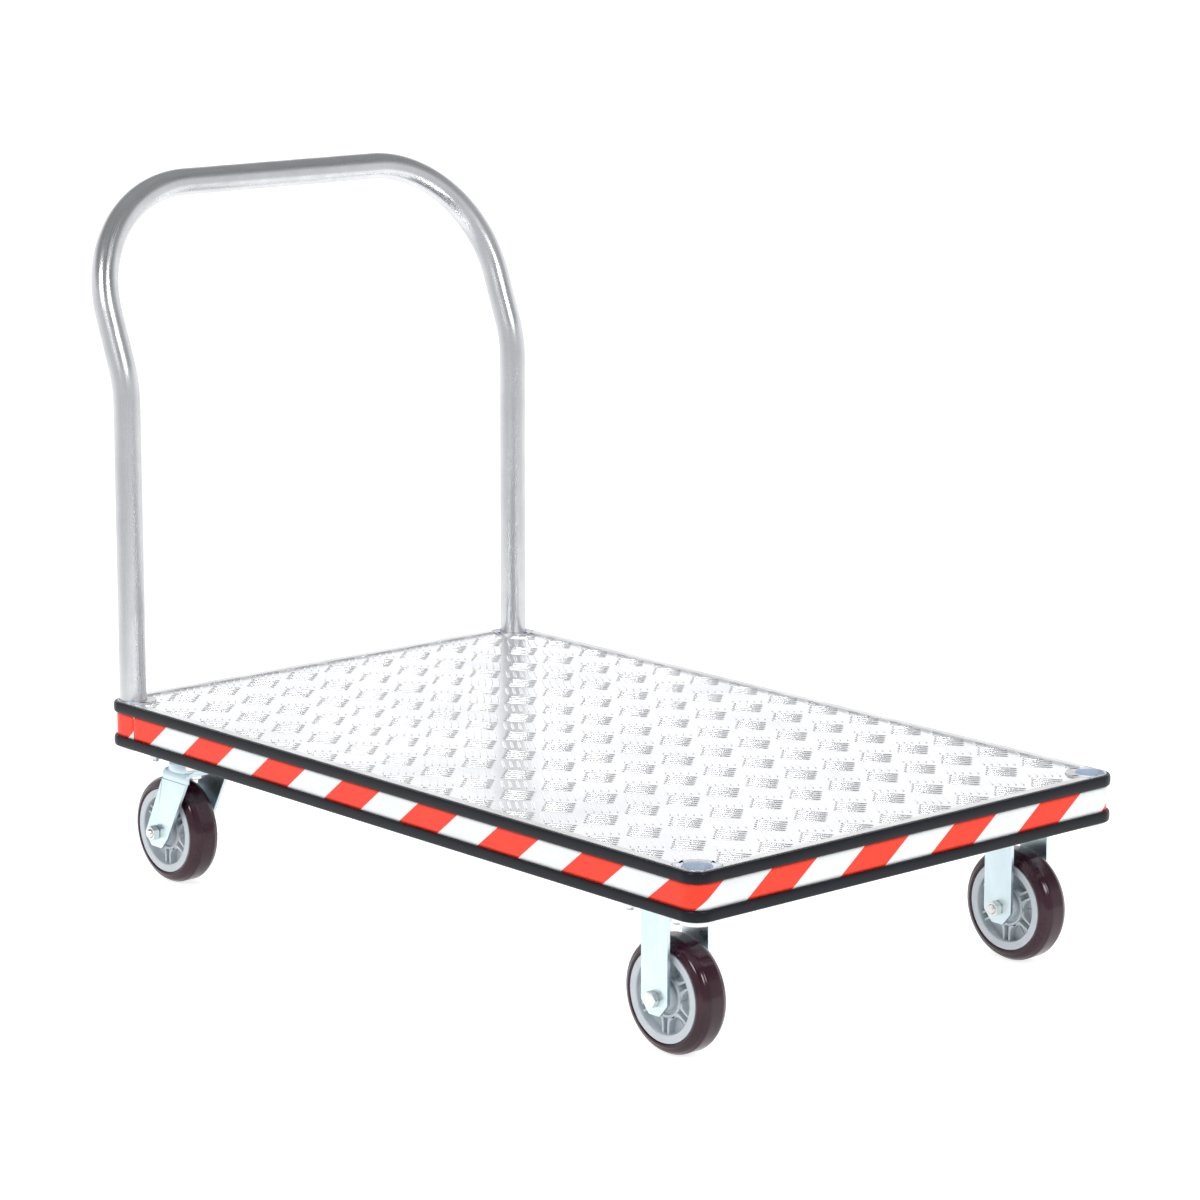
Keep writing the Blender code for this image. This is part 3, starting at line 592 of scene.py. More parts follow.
ledge_top = DECK_TOP - PLATE_DOWN - PLATE_T - GAP
for name, sx, sy in (("front_left", 1, 1), ("front_right", 1, -1), ("rear_left", -1, 1), ("rear_right", -1, -1)):
    cx, cy = DX + sx * SOCKET_X, sy * SOCKET_Y
    low = DECK_TOP - BOSS_DROP

    def corner_points(centre_r, angles):
        return [(cx + sx * centre_r * math.cos(math.radians(t)), cy + sy * centre_r * math.sin(math.radians(t))) for t in angles]

    reach, far = DECK_L / 2 - ARM, DECK_W / 2 - ARM
    inner_x, inner_y = WEB_X - WALL - LEDGE, WEB_Y - WALL - LEDGE
    arms = corner_points(WEB_R, [90 * i / 24 for i in range(25)]) + [
        (DX + sx * reach, sy * WEB_Y), (DX + sx * reach, sy * inner_y),
        (DX + sx * inner_x, sy * inner_y),
        (DX + sx * inner_x, sy * far), (DX + sx * WEB_X, sy * far),
    ]
    casting = bm_object(f"corner_socket_{name}", prism(arms, "Z", BOTTOM, FRAME_TOP), "cast_aluminium")
    casting.data.materials.append(M["socket_bore_painted_light"])
    skin = 0.0003

    def clipped(r, steps):
        side = math.degrees(math.acos((WEB_R - skin) / r))
        return corner_points(WEB_R - skin, [90 * i / 24 for i in range(25)]) + corner_points(
            r, [90 + side + (270 - 2 * side) * i / steps for i in range(steps + 1)])

    xs = sorted((DX + sx * (reach - 0.02), DX + sx * (WEB_X - WALL)))
    ys = sorted((sy * (far - 0.02), sy * (WEB_Y - WALL)))
    combine(casting, [
        ("DIFFERENCE", box(*xs, *ys, ledge_top, DECK_TOP + 0.01)),
        ("UNION", prism(clipped(BOSS_R, 64), "Z", BOTTOM + 0.0005, DECK_TOP - 0.0001)),
        ("UNION", prism(clipped(RING_R, 72), "Z", ledge_top + 0.0002, FRAME_TOP - 0.0001)),
        ("UNION", round_bar(cx, cy, WEB_R - 0.0012, low, BOTTOM + 0.012, 70)),
    ])
    # the socket is bored from the top, with the joints of the discs cleaned first
    bm = bmesh.new()
    bm.from_mesh(casting.data)
    bmesh.ops.remove_doubles(bm, verts=bm.verts[:], dist=2e-6)
    bmesh.ops.dissolve_limit(bm, angle_limit=0.0005, verts=bm.verts[:], edges=bm.edges[:])
    bmesh.ops.triangulate(bm, faces=bm.faces[:])
    bmesh.ops.recalc_face_normals(bm, faces=bm.faces[:])
    bm.to_mesh(casting.data)
    bm.free()
    combine(casting, [("DIFFERENCE", round_bar(cx, cy, SOCKET_R, low + SOCKET_FLOOR, DECK_TOP + 0.01, 78))])
    # the bore's faces take slot 1, the painted-light copy of the casting metal
    for p in casting.data.polygons:
        r = math.hypot(p.center.x - cx, p.center.y - cy)
        p.material_index = 1 if r < SOCKET_R + 0.0002 and p.center.z > low + 0.001 else 0
    soften(casting, 0.0005, 2)
    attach(casting, "deck")
    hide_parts(f"corner_casting_{name}")

# ---------------------------------------------------------------- bumpers
bump_in = 0.0004


def bumper(name, top):
    low, d = top - BUMPER_H, BUMPER_D
    section = [(bump_in, low + 0.0004), (0.0012, low)]
    # a rounded face
    steps = 18
    for i in range(steps + 1):
        t = -math.pi / 2 + math.pi * i / steps
        x = 0.0022 + (d - 0.0022) * abs(math.cos(t)) ** 0.60
        z = low + BUMPER_H / 2 + BUMPER_H / 2 * math.copysign(abs(math.sin(t)) ** 0.85, math.sin(t))
        section.append((x, z))
    section += [(0.0012, top), (bump_in, top - 0.0004)]
    columns = [around(o, 20) for o, _ in section]
    rings = [[(*columns[j][i], section[j][1]) for j in range(len(section))] for i in range(len(columns[0]))]
    made = bm_object(f"bumper_strip_{name}", loft(rings, closed_path=True), "black_rubber", "deck", (f"bumper_{name}",), 50)
    return made


bumper("upper", DECK_TOP - 0.0002)
bumper("lower", BOTTOM + BUMPER_H)

# ---------------------------------------------------------------- striped tape
TAPE_LOW, TAPE_TOP = BOTTOM + BUMPER_H + GAP, DECK_TOP - 0.0002 - BUMPER_H - GAP
TAPE_H = TAPE_TOP - TAPE_LOW
SLOPE = 1.25
OUT = 0.0009
R_OUT = WEB_R + OUT
X_STRAIGHT, Y_STRAIGHT = WEB_X - WEB_R, WEB_Y - WEB_R
ARC = R_OUT * math.pi / 2
SEAM_X = -0.555
LONG, SHORT = 2 * X_STRAIGHT, 2 * Y_STRAIGHT
PERIMETER = 2 * LONG + 2 * SHORT + 4 * ARC


def on_tape(s, offset=OUT):
    """Plan point at distance s along the tape, counter-clockwise from the seam on the right side."""
    s = s % PERIMETER
    runs = [("line", X_STRAIGHT - SEAM_X), ("arc", 270), ("line", SHORT), ("arc", 0), ("line", LONG), ("arc", 90), ("line", SHORT), ("arc", 180), ("line", SEAM_X + X_STRAIGHT)]
    starts = [
        ((SEAM_X, -WEB_Y - offset), (1, 0)), (X_STRAIGHT, -Y_STRAIGHT), ((WEB_X + offset, -Y_STRAIGHT), (0, 1)), (X_STRAIGHT, Y_STRAIGHT),
        ((X_STRAIGHT, WEB_Y + offset), (-1, 0)), (-X_STRAIGHT, Y_STRAIGHT), ((-WEB_X - offset, Y_STRAIGHT), (0, -1)), (-X_STRAIGHT, -Y_STRAIGHT),
        ((-X_STRAIGHT, -WEB_Y - offset), (1, 0)),
    ]
    for (kind, size), start in zip(runs, starts):
        length = ARC if kind == "arc" else size
        if s <= length + 1e-9:
            if kind == "line":
                (px, py), (vx, vy) = start
                return DX + px + vx * s, py + vy * s
            t = math.radians(size) + (s / ARC) * math.pi / 2
            return DX + start[0] + (WEB_R + offset) * math.cos(t), start[1] + (WEB_R + offset) * math.sin(t)
        s -= length
    return DX + SEAM_X, -WEB_Y - offset


def tape_pieces():
    """Red and white bands with slanted joints, one skin 0.5 mm thick."""
    side = [s / 1000 for s in (59.5, 137.4, 217.0, 295.4, 376.8, 457.4, 536.4, 616.7, 696.6, 776.8, 856.8, 939.1, 1017.9, 1100.2)]
    marks = [(s, "white" if i % 2 == 0 else "red") for i, s in enumerate(side)]
    front0 = (X_STRAIGHT - SEAM_X) + ARC + Y_STRAIGHT      # s at y = 0 on the front
    front = [y / 1000 for y in (-351.7, -270.7, -193.0, -110.1, -31.1, 50.5, 129.2, 211.3, 289.5)]
    marks += [(front0 + y, "white" if i % 2 == 0 else "red") for i, y in enumerate(front)]
    s, colour = marks[-1]
    while s < PERIMETER + 0.08:
        s += 0.0821 if colour == "white" else 0.0776
        colour = "red" if colour == "white" else "white"
        marks.append((s, colour))
    # stretch the far side a little so that the joint at the seam falls as it should
    end = [m for m in marks if m[1] == "red" and m[0] < PERIMETER + 0.05][-1][0]
    first = [(side[0] - 0.0776 - 0.0821, "white"), (side[0] - 0.0776, "red")]
    marks = first + marks
    fixed = front0 + front[-1]
    target = PERIMETER - 0.0712           # where the last red band starts
    last_red = max(m[0] for m in marks if m[1] == "red" and m[0] < target + 0.05)
    k = (target - fixed) / (last_red - fixed)
    marks = [(m[0] if m[0] <= fixed else fixed + (m[0] - fixed) * k, m[1]) for m in marks]
    rows = 8
    layers = {"red": ([], []), "white": ([], [])}
    eps = 0.00025
    for (a, colour), (b, _) in zip(marks, marks[1:]):
        if b - a < 1e-6:
            continue
        cols = max(4, int((b - a) / 0.0035))
        verts, faces = layers[colour]
        base = len(verts)
        for r in range(rows + 1):
            h = r / rows
            for c in range(cols + 1):
                s = a + (b - a) * c / cols
                s += (SLOPE if s < 1.14 else SLOPE + 0.06) * TAPE_H * (h - 0.5)
                s = min(max(s, eps), PERIMETER - eps)
                x, y = on_tape(s)
                verts.append((x, y, TAPE_LOW + TAPE_H * h))
        for r in range(rows):
            for c in range(cols):
                p = base + r * (cols + 1) + c
                q = [p, p + 1, p + cols + 2, p + cols + 1]
                pts = [Vector(verts[n]) for n in q]
                if ((pts[2] - pts[0]).cross(pts[3] - pts[1])).length < 2e-9:
                    continue
                faces.append(tuple(q))
    verts, faces, mats = [], [], []
    for n, colour in enumerate(("red", "white")):
        v, f = layers[colour]
        base = len(verts)
        verts += v
        faces += [tuple(i + base for i in q) for q in f]
        mats += [n] * len(f)
    mesh = bpy.data.meshes.new("striped_tape")
    mesh.from_pydata(verts, [], faces)
    mesh.polygons.foreach_set("material_index", mats)
    mesh.update()
    made = bpy.data.objects.new("striped_tape", mesh)
    scene.collection.objects.link(made)
    bm = bmesh.new()
    bm.from_mesh(mesh)
    bmesh.ops.remove_doubles(bm, verts=bm.verts, dist=2e-6)
    bmesh.ops.dissolve_degenerate(bm, edges=bm.edges, dist=1e-6)
    loose = [v for v in bm.verts if not v.link_faces]
    bmesh.ops.delete(bm, geom=loose, context="VERTS")
    bm.to_mesh(mesh)
    bm.free()
    return made


def tape_object():
    made = tape_pieces()
    solid = made.modifiers.new("thickness", "SOLIDIFY")
    solid.thickness = 0.00045
    solid.offset = -1.0
    solid.use_even_offset = True
    return made


strip = tape_object()
dress(strip, ["tape_red", "tape_white"], "deck", ("reflective_tape",), 40)


# ---------------------------------------------------------------- handle
def handle_path():
    pts = [Vector((0, -SOCKET_Y, DECK_TOP - BOSS_DROP + SOCKET_FLOOR + GAP))]
    cut = KINK_R * math.tan(LEAN / 2)
    z0 = DECK_TOP + KINK_Z - cut
    straight = (z0 - pts[0].z)
    for i in range(1, 12):
        pts.append(Vector((0, -SOCKET_Y, pts[0].z + straight * i / 12)))
    for i in range(13):
        a = LEAN * i / 12
        pts.append(Vector((-KINK_R * (1 - math.cos(a)), -SOCKET_Y, z0 + KINK_R * math.sin(a))))
    slope = Vector((-math.sin(LEAN), 0, math.cos(LEAN)))
    whole = (HANDLE_Z - KINK_Z) / math.cos(LEAN)
    kink = Vector((0, -SOCKET_Y, DECK_TOP + KINK_Z))
    bend = kink + slope * (whole - HANDLE_R)
    for i in range(37):
        a = math.pi / 2 * i / 36
        pts.append(bend + slope * (HANDLE_R * math.sin(a)) + Vector((0, HANDLE_R * (1 - math.cos(a)), 0)))
    last = pts[-1]
    for i in range(1, 6):
        pts.append(Vector((last.x, last.y * (1 - i / 6), last.z)))
    return pts


def handle():
    half = handle_path()
    mirrored = [Vector((p.x, -p.y, p.z)) for p in reversed(half)]
    middle = Vector((half[-1].x, 0, half[-1].z))
    path = [Vector((p.x + DX + POST_X, p.y, p.z)) for p in half + [middle] + mirrored]
    count = 56
    rings, side, run, along_at = [], Vector((1, 0, 0)), 0.0, []
    for i, p in enumerate(path):
        before = path[i] - path[i - 1] if i else path[1] - path[0]
        after = path[i + 1] - path[i] if i + 1 < len(path) else path[-1] - path[-2]
        if i:
            run += before.length
        along = (before.normalized() + after.normalized()).normalized()
        side = (side - along * side.dot(along)).normalized()
        rings.append((p, side.copy(), along.cross(side)))
        along_at.append(run)
    bm = bmesh.new()
    uv = bm.loops.layers.uv.new("UVMap")
    end = 0.0009
    shells = []
    for r in (TUBE_R, TUBE_R - TUBE_T):
        made = []
        for i, (p, a, b) in enumerate(rings):
            made.append([bm.verts.new(p + a * r * math.cos(2 * math.pi * k / count) + b * r * math.sin(2 * math.pi * k / count)) for k in range(count)])
        shells.append(made)
    for shell, r in zip(shells, (TUBE_R, TUBE_R - TUBE_T)):
        for i in range(len(shell) - 1):
            for k in range(count):
                n = (k + 1) % count
                f = bm.faces.new((shell[i][k], shell[i][n], shell[i + 1][n], shell[i + 1][k]))
                for loop, (kk, ii) in zip(f.loops, ((k, i), (k + 1, i), (k + 1, i + 1), (k, i + 1))):
                    loop[uv].uv = (kk / count * 2 * math.pi * r * 10, along_at[ii] * 10)
    for e in (0, -1):
        for k in range(count):
            n = (k + 1) % count
            bm.faces.new((shells[0][e][k], shells[0][e][n], shells[1][e][n], shells[1][e][k]))
    return bm_object("handle_tube", bm, "tube_aluminium", "handle", ("handle",), 50)


handle()


# ---------------------------------------------------------------- casters
def hex_points(cx, cy, flats, turn=0.0):
    r = flats / math.sqrt(3)
    return [(cx + r * math.cos(math.pi / 3 * i + turn), cy + r * math.sin(math.pi / 3 * i + turn)) for i in range(6)]


def turned(x, y, z, axis):
    """Maps (across, up, along) of a fastener to the row frame. axis is the way its head faces."""
    a = Vector(axis).normalized()
    u = Vector((0, 0, 1)) if abs(a.z) < 0.5 else Vector((1, 0, 0))
    v = a.cross(u).normalized()
    u = v.cross(a).normalized()
    return lambda p, q, t: Vector((x, y, z)) + u * p + v * q + a * t


def hex_solid(place, flats, t0, t1, hole=0.0, chamfer_low=False, chamfer_top=True, turn=0.0, dish=0.0):
    """A hexagon with rounded-off corners at its ends, as rings of points round its axis."""
    n = 96
    r_hex = flats / math.sqrt(3)
    inner = flats / 2

    def radius(t):
        m = math.pi / 3
        w = ((t - turn) % m) - m / 2
        return inner / math.cos(w)

    rings = []
    height = t1 - t0
    cap = flats / 2 * 0.97
    drop = 0.16 * (r_hex - cap) / (r_hex - inner + 1e-9)

    def ring(scale_cap, t_of):
        out = []
        for i in range(n):
            t = 2 * math.pi * i / n
            out.append((t, scale_cap(t), t_of(t)))
        return out

    profile = []
    if hole > 0:
        profile.append(ring(lambda t: hole, lambda t: t0))
    if chamfer_low:
        profile.append(ring(lambda t: cap, lambda t: t0))
        profile.append(ring(radius, lambda t: t0 + 0.45 * max(radius(t) - cap, 0)))
    else:
        profile.append(ring(radius, lambda t: t0))
    if chamfer_top:
        profile.append(ring(radius, lambda t: t1 - 0.45 * max(radius(t) - cap, 0)))
        profile.append(ring(lambda t: cap, lambda t: t1))
    else:
        profile.append(ring(radius, lambda t: t1))
    if hole > 0:
        profile.append(ring(lambda t: hole + 0.0006, lambda t: t1))
        profile.append(ring(lambda t: hole, lambda t: t1 - 0.0006))
    bm = bmesh.new()
    made = [[bm.verts.new(place(r * math.cos(t), r * math.sin(t), h)) for t, r, h in rr] for rr in profile]
    m = len(made)
    for k in range(m if hole > 0 else m - 1):
        a, b = made[k], made[(k + 1) % m]
        for i in range(n):
            j = (i + 1) % n
            bm.faces.new((a[i], a[j], b[j], b[i]))
    if hole <= 0:
        bm.faces.new(made[0])
        bm.faces.new(list(reversed(made[-1])))
    return bm


def rod(place, r, t0, t1, segs=40, chamfer=0.0008, thread=None):
    """A round bar with chamfered ends; thread = (from, to, pitch, depth) cuts grooves round it."""
    prof = [(0.0, t0), (max(r - chamfer, 1e-5), t0), (r, t0 + chamfer)]
    if thread:
        f, t, pitch, depth = thread
        z = f
        while z < t - pitch * 0.5:
            prof += [(r, z), (r - depth, z + pitch * 0.5)]
            z += pitch
        prof.append((r, min(z, t1 - chamfer)))
    prof += [(r, t1 - chamfer), (max(r - chamfer, 1e-5), t1), (0.0, t1)]
    clean = []
    for p in prof:
        if not clean or abs(p[0] - clean[-1][0]) > 1e-7 or abs(p[1] - clean[-1][1]) > 1e-7:
            clean.append(p)
    bm = bmesh.new()
    cols = []
    low, high = bm.verts.new(place(0, 0, t0)), bm.verts.new(place(0, 0, t1))
    for s in range(segs):
        t = 2 * math.pi * s / segs
        cols.append([bm.verts.new(place(rr * math.cos(t), rr * math.sin(t), h)) for rr, h in clean[1:-1]])
    for s in range(segs):
        a, b = cols[s], cols[(s + 1) % segs]
        bm.faces.new((low, a[0], b[0]))
        for i in range(len(a) - 1):
            bm.faces.new((a[i], a[i + 1], b[i + 1], b[i]))
        bm.faces.new((a[-1], high, b[-1]))
    return bm


def washer(place, r_in, r_out, t0, t1, segs=64, edge=0.0003):
    prof = [(r_in, t0), (r_out - edge, t0), (r_out, t0 + edge), (r_out, t1 - edge), (r_out - edge, t1), (r_in + edge, t1), (r_in, t1 - edge)]
    bm = bmesh.new()
    cols = []
    for s in range(segs):
        t = 2 * math.pi * s / segs
        cols.append([bm.verts.new(place(rr * math.cos(t), rr * math.sin(t), h)) for rr, h in prof])
    for s in range(segs):
        a, b = cols[s], cols[(s + 1) % segs]
        for i in range(len(prof)):
            k = (i + 1) % len(prof)
            bm.faces.new((a[i], a[k], b[k], b[i]))
    return bm


def merge(*bms):
    """One bmesh of several closed lumps that sit in or on each other."""
    out = bmesh.new()
    for bm in bms:
        bmesh.ops.recalc_face_normals(bm, faces=bm.faces)
        if bm.calc_volume(signed=True) < 0:
            bmesh.ops.reverse_faces(bm, faces=bm.faces)
        mesh = bpy.data.meshes.new("part")
        bm.to_mesh(mesh)
        bm.free()
        out.from_mesh(mesh)
        bpy.data.meshes.remove(mesh)
    return out


def arc(cx, cz, r, a0, a1, n):
    return [(cx + r * math.cos(math.radians(a0 + (a1 - a0) * i / n)), cz + r * math.sin(math.radians(a0 + (a1 - a0) * i / n))) for i in range(n + 1)]


def wheel(corner, x, y, body):
    z, w, r = WHEEL_R, TYRE_W / 2, WHEEL_R
    bore = HUB_R + GAP
    segs = 112
    # flat tread, rounded shoulders with a fine moulding step, and a step beside the rim
    half = [
        (bore, 0.0018), (bore + 0.0008, 0.0006), (bore + 0.0024, 0.0), (r - 0.0122, 0.0), (r - 0.0112, 0.0004), (r - 0.0104, 0.0012),
        (r - 0.0096, 0.0016), (r - 0.0066, 0.0028), (r - 0.0044, 0.0046), (r - 0.0028, 0.0068), (r - 0.0019, 0.0086),
        (r - 0.0015, 0.0098), (r - 0.0010, 0.0104), (r - 0.0004, 0.0114), (r, 0.0132), (r, 0.0160),
    ]
    prof = [(a, -w + b) for a, b in half] + [(a, w - b) for a, b in reversed(half)]
    bm_object(f"{corner}_tyre_moulded", revolve(prof, (x, y, z), "Y", segs, -math.pi / 2), "maroon_polyurethane", body, (f"{corner}_tyre",), 40)

    rim, boss, long = 0.0488, 0.0192, 0.0300
    cup, ring, lip = 0.0238, 0.0280, 0.0045
    face = w - 0.0001
    prof = [
        (0.0125, -long + 0.0008), (0.0133, -long), (boss - 0.0016, -long), (boss - 0.0008, -long + 0.0008),
        (boss, -w + lip + 0.004), (cup, -w + lip + 0.004), (cup + 0.0004, -w + lip), (ring - 0.0006, -w + lip), (ring, -w + lip + 0.0006),
        (ring + 0.0006, -0.0065), (rim + 0.0006, -0.0065),
        (rim, -face + 0.0014), (rim + 0.0012, -face), (HUB_R - 0.0006, -face), (HUB_R, -face + 0.0008),
    ]
    prof += [(a, -b) for a, b in reversed(prof)]
    hub = bm_object(f"{corner}_hub_moulded", revolve(prof, (x, y, z), "Y", segs, -math.pi / 2), "grey_nylon")
    steps = []
    for i in range(6):
        a = math.pi / 3 * i + math.pi / 6
        u = Vector((math.cos(a), math.sin(a)))
        v = Vector((-u.y, u.x))
        for s in (-1, 1):
            # two ribs that open into the ring with a fillet
            pts = []
            for along, across in ((0.0262, 0.0150), (0.0282, 0.0112), (0.0308, 0.0086), (0.0345, 0.0072), (0.0400, 0.0065), (0.0470, 0.0066), (0.0518, 0.0082),
                                  (0.0518, 0.0034), (0.0400, 0.0034), (0.0320, 0.0036), (0.0268, 0.0040)):
                p = u * along + v * (across * s)
                pts.append((x + p.x, z + p.y))
            steps.append(("UNION", prism(pts, "Y", y - w + lip + 0.0010, y + w - lip - 0.0010)))
    combine(hub, steps, 30)
    soften(hub, 0.0006, 2, 32)
    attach(hub, body)
    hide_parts(f"{corner}_hub")

    c = 0.0006
    prof = [(AXLE_R + 0.0004, -0.0292), (0.0122 - c, -0.0292), (0.0122, -0.0292 + c), (0.0122, 0.0292 - c), (0.0122 - c, 0.0292), (AXLE_R + 0.0004, 0.0292)]
    bm_object(f"{corner}_roller_bearing_sleeve", revolve(prof, (x, y, z), "Y", 64), "bearing_steel", body, (f"{corner}_roller_sleeve",), 30)


def axle(corner, x, y, head, body):
    z = WHEEL_R
    face = FORK_IN + FORK_T + GAP
    place = turned(x, y, z, (0, head, 0))
    th = 0.0012
    bolt = merge(
        rod(place, AXLE_R - 0.0001, -(face + 0.0135), face + 0.001, 48, 0.0009, (-(face + 0.0128), -(face + 0.0005), 0.00125, 0.0005)),
        hex_solid(place, 0.019, face + 0.0001, face + 0.0078, turn=math.pi / 6),
    )
    bm_object(f"{corner}_axle_screw", bolt, "bolt_steel", body, (f"{corner}_axle_bolt",), 25, tidy=False)
    place = turned(x, y, z, (0, -head, 0))
    nut = hex_solid(place, 0.019, face + 0.0001, face + 0.0100, hole=AXLE_R + 0.0002, chamfer_low=True)
    bm_object(f"{corner}_axle_hexnut", nut, "bolt_steel", body, (f"{corner}_axle_nut",), 25)


def top_plate(x, y):
    a, b, c = PLATE_X / 2, PLATE_Y / 2, 0.010
    pts = []
    for sx, sy, start in ((1, 1, 0), (-1, 1, 90), (-1, -1, 180), (1, -1, 270)):
        pts += arc(x + sx * (a - c), y + sy * (b - c), c, start, start + 90, 8)
    return prism(pts, "Z", PLATE_Z - PLATE_TH, PLATE_Z)


def plate_holes(x, y):
    return [("DIFFERENCE", round_bar(x + bx * BOLT_X, y + by * BOLT_Y, 0.0055, PLATE_Z - 0.02, PLATE_Z + 0.01, 24)) for bx in (1, -1) for by in (1, -1)]


def mounting_bolts(corner, x, y):
    number = 0
    for bx in (1, -1):
        for by in (1, -1):
            number += 1
            px, py = x + bx * BOLT_X, y + by * BOLT_Y
            head = BOTTOM + 0.005 + GAP
            under = PLATE_Z - PLATE_TH - GAP
            place = turned(px, py, 0.0, (0, 0, 1))
            down = turned(px, py, 0.0, (0, 0, -1))
            bolt = merge(
                rod(place, 0.0049, under - 0.0125, head + 0.002, 28, 0.0008, (under - 0.0118, under - 0.0004, 0.0011, 0.00045)),
                hex_solid(place, 0.016, head, head + 0.0064, turn=math.pi / 6),
                hex_solid(down, 0.016, -under, -under + 0.0088, turn=math.pi / 6, chamfer_low=False),
            )
            bm_object(f"{corner}_plate_bolt_{number}", bolt, "bolt_steel", "deck", (f"{corner}_mount_bolt_{number}",), 25, tidy=False)


leg_low = WHEEL_R - 0.0215


def leg_outline(x, top, ax, half_top, half_low):
    c = 0.0145
    return [
        (x - half_top, top), (ax - half_low, leg_low + c + 0.002), (ax - half_low + c, leg_low),
        (ax + half_low - c, leg_low), (ax + half_low, leg_low + c + 0.002), (x + half_top, top),
    ]


def rounded(points, r, n=5):
    """Rounds a polygon's corners."""
    out = []
    for i, p in enumerate(points):
        a, b = Vector(points[i - 1]) - Vector(p), Vector(points[(i + 1) % len(points)]) - Vector(p)
        k = min(r, 0.45 * a.length, 0.45 * b.length)
        p0, p1, c = Vector(p) + a.normalized() * k, Vector(p) + b.normalized() * k, Vector(p)
        for j in range(n + 1):
            t = j / n
            out.append(tuple(p0 * (1 - t) ** 2 + c * (2 * t * (1 - t)) + p1 * t ** 2))
    return out


for corner, sy in (("front_left", 1), ("front_right", -1)):
    x, y = DX + CASTER_X, sy * CASTER_Y
    fork = bm_object(f"{corner}_fork_pressed", top_plate(x, y), "zinc_steel")
    steps = []
    for s in (1, -1):
        lo, hi = sorted((y + s * FORK_IN, y + s * (FORK_IN + FORK_T)))
        pts = leg_outline(x, PLATE_Z - 0.003, x, 0.024, 0.024)
        low_part = rounded(pts, 0.0022, 4)
        steps.append(("UNION", prism(low_part, "Y", lo, hi)))
    steps += [("DIFFERENCE", cross_bar(x, WHEEL_R, AXLE_R + 0.0002, y - 0.1, y + 0.1, 32))] + plate_holes(x, y)
    combine(fork, steps)
    soften(fork, 0.0007, 2)
    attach(fork, "deck")
    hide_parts(f"{corner}_rigid_fork")
    wheel(corner, x, y, f"wheel_{corner}")
    axle(corner, x, y, sy, "deck")
    mounting_bolts(corner, x, y)

for corner, sy in (("rear_left", 1), ("rear_right", -1)):
    x, y = DX - CASTER_X, sy * CASTER_Y
    ax = x - TRAIL
    under = PLATE_Z - PLATE_TH
    plate = bm_object(f"{corner}_caster_plate", top_plate(x, y), "zinc_steel")
    race = [(0, under + 0.003), (0.0370, under + 0.003), (0.0374, under + 0.0005), (0.0370, under - 0.0030), (0.0360, under - 0.0058), (0.0335, under - 0.0078), (0.0300, under - 0.0088), (0, under - 0.0088)]
    combine(plate, [
        ("UNION", revolve(race, (x, y, 0), "Z", 72)),
        ("DIFFERENCE", round_bar(x, y, 0.0085, under - 0.03, PLATE_Z + 0.01, 32)),
        ("DIFFERENCE", round_bar(x, y, 0.0137, PLATE_Z - 0.0036, PLATE_Z + 0.01, 48)),
    ] + plate_holes(x, y), 30)
    soften(plate, 0.0005, 2, 40)
    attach(plate, "deck")
    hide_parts(f"{corner}_top_plate")

    crown = under - 0.0092
    deck = crown - 0.0100
    cup = [(0, crown), (0.0345, crown), (0.0366, crown - 0.0010), (0.0375, crown - 0.0032), (0.0375, deck - 0.002), (0, deck - 0.002)]
    fork = bm_object(f"{corner}_fork_turning", revolve(cup, (x, y, 0), "Z", 72), "zinc_steel")
    half, r, i = FORK_IN + FORK_T, 0.010, FORK_IN
    top = [(y - half, deck - 0.016)] + arc(y - half + r, deck - r, r, 180, 90, 10) + arc(y + half - r, deck - r, r, 90, 0, 10) + [(y + half, deck - 0.016)]
    inner = [(y + i, deck - 0.016)] + arc(y + i - 0.0045, deck - 0.0105, 0.0045, 0, 90, 6) + arc(y - i + 0.0045, deck - 0.0105, 0.0045, 90, 180, 6) + [(y - i, deck - 0.016)]
    steps = [("UNION", prism(top + inner, "X", x - 0.029, x + 0.029))]
    for s in (1, -1):
        lo, hi = sorted((y + s * (FORK_IN + 0.0001), y + s * (half - 0.0001)))
        steps.append(("UNION", prism(rounded(leg_outline(x, deck - 0.0125, ax, 0.0288, 0.0265), 0.0025, 4), "Y", lo, hi)))
    steps.append(("DIFFERENCE", round_bar(x, y, 0.0085, deck - 0.02, crown + 0.01, 32)))
    steps.append(("DIFFERENCE", cross_bar(ax, WHEEL_R, AXLE_R + 0.0002, y - 0.1, y + 0.1, 32)))
    combine(fork, steps, 32)
    soften(fork, 0.0007, 2, 40)
    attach(fork, f"swivel_{corner}")
    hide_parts(f"{corner}_swivel_fork")

    foot = deck - 0.006 - GAP
    place = turned(x, y, 0.0, (0, 0, 1))
    down = turned(x, y, 0.0, (0, 0, -1))
    pin = merge(
        rod(place, 0.0080, foot - 0.0110, PLATE_Z - 0.0010, 40, 0.0008),
        rod(place, 0.0130, PLATE_Z - 0.0033, PLATE_Z - 0.0004, 48, 0.0006),
        hex_solid(down, 0.024, -foot, -foot + 0.0090),
    )
    bm_object(f"{corner}_king_bolt", pin, "bolt_steel", "deck", (f"{corner}_kingpin",), 25, tidy=False)
    wheel(corner, ax, y, f"wheel_{corner}")
    axle(corner, ax, y, 1, f"swivel_{corner}")
    mounting_bolts(corner, x, y)

